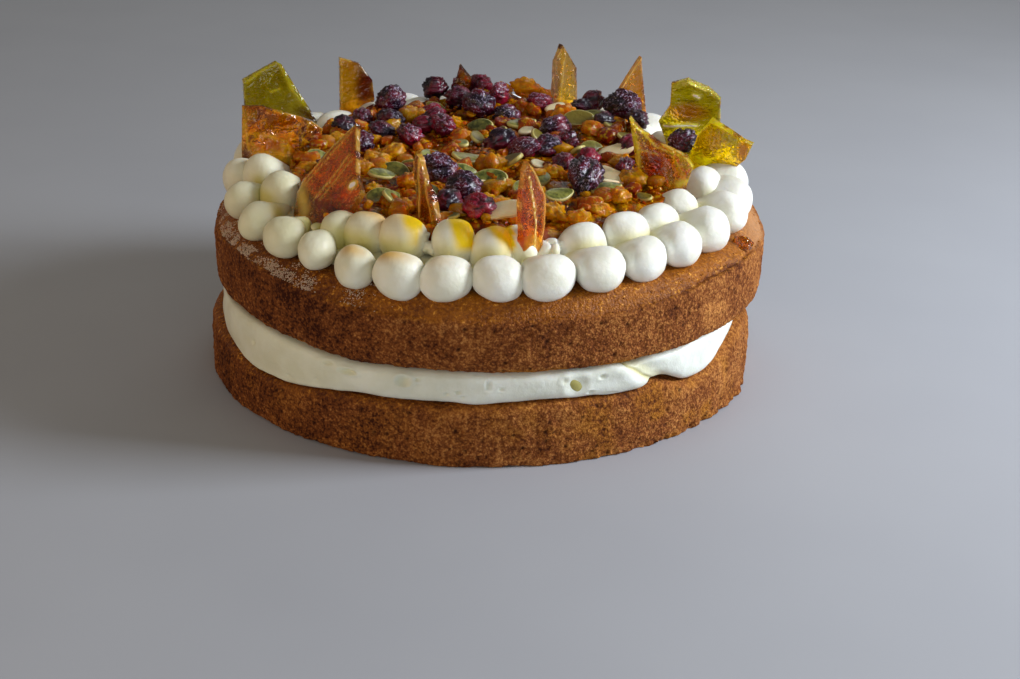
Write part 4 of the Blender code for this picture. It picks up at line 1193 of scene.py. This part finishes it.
def crumb_part(centre, half, draw):
    """Small irregular crumb."""
    directions, faces = ball(4, 7)
    jitter = np.array([draw.uniform(0.72, 1.2) for _ in directions])
    points = directions * half * jitter[:, None]
    return posed(points, centre, draw.uniform(0, 360), draw.uniform(-60, 60)), faces


def jelly_part(centre, half, draw):
    """Soft-cornered bit of jelly."""
    directions, faces = ball(8, 12)
    swell = 0.95 + 0.30 * noise(directions, 0.9, draw.randrange(1000)) + 0.10 * noise(directions, 0.4, 3)
    points = boxier(directions, 0.75) * half * swell[:, None]
    return posed(points, centre, draw.uniform(0, 360), draw.uniform(-40, 40)), faces


def foot_distance(x, y):
    """Distance from a spot to the nearest foot of brittle, in metres."""
    nearest = CAKE_RADIUS
    spot = Vector((x, y))
    for _, foot, heading, _, _, _, outline in BRITTLE:
        along = Vector((math.cos(math.radians(heading)), math.sin(math.radians(heading))))
        base = Vector(foot) * MM
        reach = [point[0] * MM for point in outline if point[1] < 6.0]
        slide = max(min(reach), min(max(reach), (spot - base).dot(along)))
        nearest = min(nearest, (spot - base - along * slide).length)
    return nearest


def on_glaze(x, y, rise):
    """Point above the glaze, on the level deck."""
    return (x, y, float(heap_height(x, y)) + rise)


def placed_pieces():
    """The pieces that stand out, by kind, and the room that they take."""
    layout = {}
    taken = []
    for kind, places in PLACED.items():
        layout[kind] = []
        for x, y, size, turn, *dark in places:
            centre = on_glaze(x * MM, y * MM, PLACED_RISE[kind] * size * HALF_SIZES[kind][2])
            layout[kind].append((centre, size, turn, *dark))
            taken.append((x * MM, y * MM, PLACED_ROOM[kind] * size))
    return layout, taken


def filler_kind(pick, y):
    """Kind of a piece that fills up, from a random number; there are more berries at the back."""
    if y > 0.010 and pick < 0.30:
        return "berry"
    return next(kind for kind, share in FILLER_SHARES if pick < share)


def perched(angle, distance, height):
    """Point on top of the border, given at its real height, on the level deck."""
    spot = polar(angle, distance * MM, height * MM)
    spot.z -= CROWN_SLOPE * spot.y
    return spot


def heap_layout():
    """Every larger piece of the heap by kind, as (centre, size, turn) and a berry's darkness."""
    draw = random.Random(21)
    layout, taken = placed_pieces()
    for site in range(FILLER_SITES):
        angle = site * GOLDEN_ANGLE % 360.0
        x, y, _ = polar(angle, FILLER_REACH * math.sqrt((site + 0.5) / FILLER_SITES))
        kind = filler_kind(draw.random(), y)
        size = draw.uniform(0.75, 1.05)
        turn = draw.uniform(0.0, 180.0)
        dark = [draw.uniform(0.2, 1.0)]
        crowded = any(math.hypot(x - a, y - b) < room + FILLER_GAP for a, b, room in taken)
        if crowded or foot_distance(x, y) < FOOT_GAP:
            continue
        taken.append((x, y, FILLER_ROOM * size))
        centre = on_glaze(x, y, FILLER_RISE[kind] * size * HALF_SIZES[kind][2])
        layout[kind].append((centre, size, turn, *(dark if kind == "berry" else [])))
    for kind, places, step in (("berry", PERCHED_BERRIES, 40.0), ("chunk", PERCHED_CHUNKS, 30.0)):
        for index, (angle, distance, height, size, *dark) in enumerate(places):
            layout[kind].append((perched(angle, distance, height), size, step * index, *dark))
    return layout


def build_heap(glaze):
    """Glaze core and every kind of piece on it."""
    draw = random.Random(33)
    layout = heap_layout()
    kinds = (("heap_berries", "berry", berry_part, berry_material("dried_berry")),
             ("heap_candied_peel", "chunk", chunk_part, glaze),
             ("heap_seeds", "seed", seed_part, seed_material("pumpkin_seed")),
             ("heap_nut_flakes", "flake", flake_part, flake_material("nut_flake")))
    pieces = [build_heap_core(glaze)]
    for name, kind, make_part, material in kinds:
        parts = [make_part(draw, *piece) for piece in layout[kind]]
        pieces.append(joined(name, parts, material))
    pieces.append(build_glaze_crumbs(glaze))
    return pieces


def build_glaze_crumbs(glaze):
    """Bits of jelly and glassy crumbs of glaze strewn over the heap and a few on the border."""
    draw = random.Random(45)
    parts = []
    for index in range(JELLY_COUNT + CRUMB_COUNT):
        angle = draw.uniform(0.0, 360.0)
        x, y, _ = polar(angle, CRUMB_REACH * math.sqrt(draw.random()))
        jelly = index < JELLY_COUNT
        size = draw.uniform(*(JELLY_SIZES if jelly else CRUMB_SIZES)) * MM
        half = np.array((size, size * draw.uniform(0.6, 1.0), size * draw.uniform(0.45, 0.75)))
        points, faces = (jelly_part if jelly else crumb_part)(on_glaze(x, y, 0.25 * size), half, draw)
        parts.append((settle(points), faces, {"draw": draw.uniform(0.1, 1.0), "deep": 0.25 * draw.random()}))
    for angle, radius, height, size in BORDER_CRUMBS:
        points, faces = crumb_part(polar(angle, radius * MM, height * MM), np.full(3, size * MM), draw)
        parts.append((settle(points), faces, {"draw": 0.7, "deep": 0.0}))
    return joined("heap_glaze_crumbs", parts, glaze, 50.0)


# ---- sugar and crumbs on the crust ----
def crust_point(angle, inset, lift=0.0):
    """Point on the rolled edge of the crust, given as a share from the rim to the crown."""
    rim = crust_rim(angle)
    crown = crown_height(angle, CAKE_RADIUS)
    edge = CAKE_RADIUS + shifted(angle, TOP_SHIFT)
    knots = (0.0, 0.3, 0.6, 1.0)
    radius = np.interp(inset, knots, (edge - 0.0001, edge - 0.0016, edge - 0.0040, edge - 0.0084))
    height = np.interp(inset, knots, (rim - 0.0008, rim + 0.0008, 0.42 * rim + 0.58 * crown, crown))
    return polar(angle, float(radius), float(height) + lift)


def build_sugar(material):
    """Coarse sugar on the left shoulder of the crust, thinning towards the front."""
    draw = random.Random(61)
    parts = []
    for _ in range(SUGAR_TRIES):
        angle = 176.0 + 84.0 * draw.random() ** 0.85
        share = draw.uniform(0.12, 1.0)
        density = float(bell(angle, 212.0, 14.0)) + 0.45 * float(bell(angle, 240.0, 10.0))
        patch = float(noise(np.array(polar(angle, CAKE_RADIUS, share * 0.01)), 0.0040, 62))
        if draw.random() > density * (0.12 + 0.55 * patch):
            continue
        size = draw.uniform(0.16, 0.36) * MM
        half = np.array((size, size * draw.uniform(0.7, 1.0), size * draw.uniform(0.6, 1.0)))
        parts.append((*crumb_part(crust_point(angle, share, 0.4 * size), half, draw), {}))
    return joined("crust_sugar", parts, material, 30.0)


def build_flecks(material):
    """Loose golden crumbs over the crust."""
    draw = random.Random(67)
    parts = []
    for _ in range(FLECK_COUNT):
        angle = draw.uniform(0.0, 360.0)
        share = draw.uniform(-0.02, 1.0)
        size = draw.uniform(0.15, 0.42) * MM
        points, faces = crumb_part(crust_point(angle, share, 0.2 * size), np.full(3, size), draw)
        values = {"tone": draw.uniform(0.3, 1.0), "gold": draw.random(),
                  "crust": 0.0, "pore": 0.0, "pale": 0.0}
        parts.append((points, faces, values))
    return joined("crust_flecks", parts, material, 30.0)


def build_amber_crumb(material):
    """Chip of brittle lying on the crust at the right."""
    draw = random.Random(71)
    directions, faces = ball(5, 8)
    jitter = np.array([draw.uniform(0.75, 1.15) for _ in directions])
    shape = directions * (0.0050, 0.0040, 0.0032) * jitter[:, None]
    points = posed(shape, crust_point(337.5, 0.62, 0.0010), 20.0, 20.0, 25.0)
    values = {"spot": 0.35, "edge": 0.0, "facet": 0.0}
    return joined("crust_amber_chip", [(points, faces, values)], material, 25.0)


# ---- brittle ----
def edge_walk(outline, step, draw):
    """Outline with extra points along each side and small chips out of it."""
    points = []
    for index, corner in enumerate(outline):
        after = outline[(index + 1) % len(outline)]
        count = max(1, round((after - corner).length / step))
        for place in range(count):
            spot = corner.lerp(after, place / count)
            chip = draw.uniform(0.0, 0.16 * step) if place else 0.0
            inward = Vector((-(after - corner).y, (after - corner).x)).normalized()
            points.append(spot + inward * chip)
    return points


def painted_highlight_share(kind, points, lines, seed):
    """How strongly the painted highlight and glow lines show at each point of a shard's face."""
    flat = points[:, (0, 2)] / MM
    share = np.zeros(len(points))
    for x, z, x_end, z_end, wide, strength in lines:
        along = np.array((x_end - x, z_end - z))
        place = np.clip((flat - (x, z)) @ along / (along @ along), 0.0, 1.0)
        distance = np.linalg.norm(flat - (x, z) - place[:, None] * along, axis=1)
        share = np.maximum(share, strength * np.exp(-(distance / wide) ** 2))
    # Crinkled and veined faces also get a network of painted highlight veins.
    if kind in ("crinkled", "veined"):
        broad = 1.0 - ramp(np.abs(noise(points, 0.0075, seed)), 0.0, 0.13)
        fine = 1.0 - ramp(np.abs(noise(points, 0.0040, seed + 1)), 0.0, 0.16)
        veins = np.maximum(broad, 0.7 * fine) * ramp(noise(points, 0.012, seed + 2), -0.5, 0.2)
        share = np.maximum(share, (0.75 if kind == "crinkled" else 0.30) * veins)
    return share


def facets(kind, points, seed):
    """Where a face of brittle is lighter or darker, in patches with sharp borders."""
    spacing, strength = PATCHES[kind]
    if kind == "ridged":
        slope = math.radians(66.0)
        along = points[:, 0] * math.cos(slope) + points[:, 2] * math.sin(slope)
        across = points[:, 2] * math.cos(slope) - points[:, 0] * math.sin(slope)
        points = np.stack((0.22 * along, 0.0 * along, across), axis=-1)
    _, draw = scattered(points, spacing, seed)
    _, fine = scattered(points, 0.45 * spacing, seed + 1)
    return strength * (draw + 0.6 * fine - 0.8)


def sheet_relief(kind, points, seed):
    """How far a face of brittle stands out at each point, in metres."""
    relief = 0.00028 * noise(points, 0.0055, seed) + 0.00010 * noise(points, 0.0017, seed + 1)
    if kind == "crinkled":
        relief = relief + 0.0017 * (0.5 - np.abs(noise(points, 0.0085, seed + 2)) * 1.6)
        relief = relief + 0.0007 * (0.5 - np.abs(noise(points, 0.0036, seed + 3)) * 1.6)
    if kind in ("wavy", "veined"):
        relief = relief + 0.00085 * noise(points, 0.0085, seed + 4)
    return relief


def shard_sheet(outline, draw):
    """Points and triangles of a shard's outline filled in, on a flat sheet."""
    corners = [Vector((along * MM, up * MM)) for along, up in outline]
    rim = edge_walk(corners, SHARD_STEP, draw)
    low = np.min([tuple(corner) for corner in corners], axis=0)
    high = np.max([tuple(corner) for corner in corners], axis=0)
    inner = [Vector((x + draw.uniform(-0.2, 0.2) * SHARD_STEP, y + draw.uniform(-0.2, 0.2) * SHARD_STEP))
             for x in np.arange(low[0], high[0], SHARD_STEP) for y in np.arange(low[1], high[1], SHARD_STEP)]
    flat, _, triangles, _, _, _ = delaunay_2d_cdt(rim + inner, [], [list(range(len(rim)))], 1, 1e-6)
    return np.array([tuple(point) for point in flat]), triangles


def open_sides(triangles):
    """Sides that belong to one triangle only."""
    sides = dict.fromkeys(side for corners in triangles for side in zip(corners, corners[1:] + corners[:1]))
    return [side for side in sides if side[::-1] not in sides]


def slab_faces(triangles, border, count):
    """Faces of a slab from those of its front, whose points are followed by as many of its back."""
    faces = [tuple(triangle) for triangle in triangles]
    faces += [tuple(count + corner for corner in reversed(triangle)) for triangle in triangles]
    return faces + [(b, a, count + a, count + b) for a, b in border]


def dark_share(points, places):
    """How strongly the darker places show at each point of a shard."""
    along = points[:, 0] / MM
    up = points[:, 2] / MM
    return sum(strength * np.exp(-(((along - x) / wide) ** 2 + ((up - z) / tall) ** 2) ** 2)
               for x, z, wide, tall, strength in places)


def build_shard(spec, kind, material, dark_places, painted_highlight_lines):
    """Slab of clear brittle with uneven faces and a chipped edge."""
    name, foot, heading, lean, thickness, crinkle, outline = spec
    draw = random.Random(name)
    flat, triangles = shard_sheet(outline, draw)
    border = open_sides(triangles)
    on_edge = np.array(sorted({corner for side in border for corner in side}))
    distance = np.min(np.linalg.norm(flat[:, None, :] - flat[on_edge][None, :, :], axis=-1), axis=1)
    middle = np.stack((flat[:, 0], 0.0 * flat[:, 0], flat[:, 1]), axis=-1)
    seed = draw.randrange(10000)
    # Painted highlights and glow along the listed lines; the front is also raised along them.
    painted_highlight = painted_highlight_share(kind, middle, painted_highlight_lines, seed + 30)
    facet = facets(kind, middle, seed + 50)
    wave = crinkle * MM * noise(middle, 0.012, seed)
    depth = 0.5 * thickness * MM * (1.0 - 0.30 * np.exp(-distance / 0.0005))
    front = middle.copy()
    front[:, 1] = wave - depth - sheet_relief(kind, middle, seed + 10)
    front[:, 1] -= 0.0003 * np.minimum(painted_highlight, 1.0) + 0.0007 * facet
    back = middle.copy()
    back[:, 1] = wave + depth + sheet_relief("plain", middle, seed + 20)
    points = np.vstack((front, back))
    pose = Matrix.Rotation(math.radians(heading), 3, "Z") @ Matrix.Rotation(math.radians(-lean), 3, "X")
    placed = points @ np.array(pose).T + (foot[0] * MM, foot[1] * MM, BRITTLE_FOOT)
    obj = mesh_object(name.replace("brittle", "sugar_shard"), settle(placed),
                      slab_faces(triangles, border, len(flat)), material, 38.0)
    chance = noise(middle, 0.0042, seed + 40)
    # Painted highlight in stretches along the rim.
    painted_rim_highlight = 0.55 * np.exp(-distance / 0.0005) * ramp(chance, -0.25, 0.15)
    # Painted shade: dark stretches along the rim, between the highlighted ones.
    painted_dark_rim = 0.75 * np.exp(-distance / 0.0006) * (1.0 - ramp(chance, -0.25, 0.0))
    # spot: darker places of the sugar itself, plus the painted dark rim.
    dark = dark_share(points, dark_places) + np.tile(painted_dark_rim, 2)
    # edge: painted highlight and glow, on the front and on the back's rim.
    set_values(obj, {"spot": np.clip(dark, 0.0, 1.0),
                     "edge": np.concatenate((np.maximum(painted_rim_highlight, painted_highlight), painted_rim_highlight)),
                     "facet": np.concatenate((facet, 0.0 * facet))})
    return obj


def build_brittle():
    """Every shard, each standing for its own node, and the chip on the crust."""
    for spec in BRITTLE:
        kind, tints, dark_places, painted_highlight_lines = SHARD_LOOKS[spec[0]]
        material = brittle_material("clear_" + spec[0], *SUGAR_TINTS[tints])
        shard = build_shard(spec, kind, material, dark_places, painted_highlight_lines)
        finish_piece(shard, "clear_brittle", spec[0])
    chip = build_amber_crumb(brittle_material("clear_chip", *SUGAR_TINTS["gold"]))
    finish_piece(chip, "clear_brittle")


# ---- assembly ----
def finish_piece(obj, slot, *nodes):
    """Tie a piece to the part."""
    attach(obj, "root")
    if nodes:
        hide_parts(*nodes)


def area_light(name, place, target, size, power, colour):
    """Soft box aimed at a point."""
    data = bpy.data.lights.new(name, "AREA")
    data.shape = "RECTANGLE"
    data.size, data.size_y = size
    data.energy = power
    data.color = colour
    light = bpy.data.objects.new(name, data)
    light.location = place
    light.rotation_euler = (Vector(target) - Vector(place)).to_track_quat("-Z", "Y").to_euler()
    bpy.context.scene.collection.objects.link(light)


def build_studio():
    """Pale floor and surroundings, a soft window light at the right and weak fills from other sides."""
    bpy.ops.mesh.primitive_plane_add(size=4.0, location=(0.0, 0.0, 0.0))
    floor = bpy.context.object
    floor.name = "floor"
    floor.data.materials.append(floor_material("pale_floor"))
    world = bpy.data.worlds.new("studio")
    world.use_nodes = True
    background = world.node_tree.nodes["Background"]
    background.inputs["Color"].default_value = (1.0, 0.94, 0.82, 1.0)
    background.inputs["Strength"].default_value = 0.19
    bpy.context.scene.world = world
    middle = (0.0, 0.0, 0.06)
    area_light("window", (0.90, -0.08, 0.50), middle, (0.36, 0.40), 12.7, (0.86, 0.92, 1.0))
    area_light("back_fill", (0.25, 1.10, 0.75), middle, (0.6, 0.3), 1.0, (0.95, 0.98, 1.0))
    area_light("front_fill", (0.15, -1.25, 0.32), middle, (0.8, 0.5), 2.5, (0.90, 0.97, 1.0))
    area_light("warm_fill", (-0.90, -0.50, 0.26), middle, (0.7, 0.4), 1.9, (1.0, 0.66, 0.36))


def build_camera():
    """Camera in front of the cake, looking down on it."""
    data = bpy.data.cameras.new("camera")
    data.lens = CAMERA_LENS
    camera = bpy.data.objects.new("camera", data)
    pose = Matrix.Translation(CAMERA_PLACE) @ Matrix.Rotation(-CAMERA_HEADING, 4, "Z")
    pose = pose @ Matrix.Rotation(0.5 * math.pi - CAMERA_TILT, 4, "X")
    camera.matrix_world = pose @ Matrix.Rotation(CAMERA_ROLL, 4, "Z")
    bpy.context.scene.collection.objects.link(camera)
    bpy.context.scene.camera = camera


def main():
    """Dress the part and set the studio."""
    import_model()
    bpy.context.scene.view_settings.view_transform = "Standard"
    crumb = sponge_material("baked_crumb")
    finish_piece(build_bottom_sponge(crumb), "sponge_crumb", "sponge_bottom")
    finish_piece(build_top_sponge(crumb), "sponge_crust", "sponge_top")
    filling = cream_material("filling_cream", (226, 229, 217), (240, 244, 236))
    finish_piece(build_filling(filling), "filling_cream", "cream_filling")
    piping = cream_material("piped_cream", (238, 236, 220), (250, 249, 240))
    finish_piece(build_border(piping), "piped_cream", "cream_border")
    glaze = glaze_material("amber_glaze")
    core, *toppings = build_heap(glaze)
    finish_piece(core, "fruit_heap", "topping_heap")
    for piece in toppings:
        finish_piece(piece, "fruit_heap")
    pulp = cream_material("fruit_pulp", (158, 148, 80), (186, 178, 112))
    finish_piece(build_fruit_bit(pulp), "filling_cream")
    finish_piece(build_sugar(sugar_material("coarse_sugar")), "sponge_crust")
    finish_piece(build_flecks(crumb), "sponge_crust")
    build_brittle()
    build_studio()
    build_camera()


main()
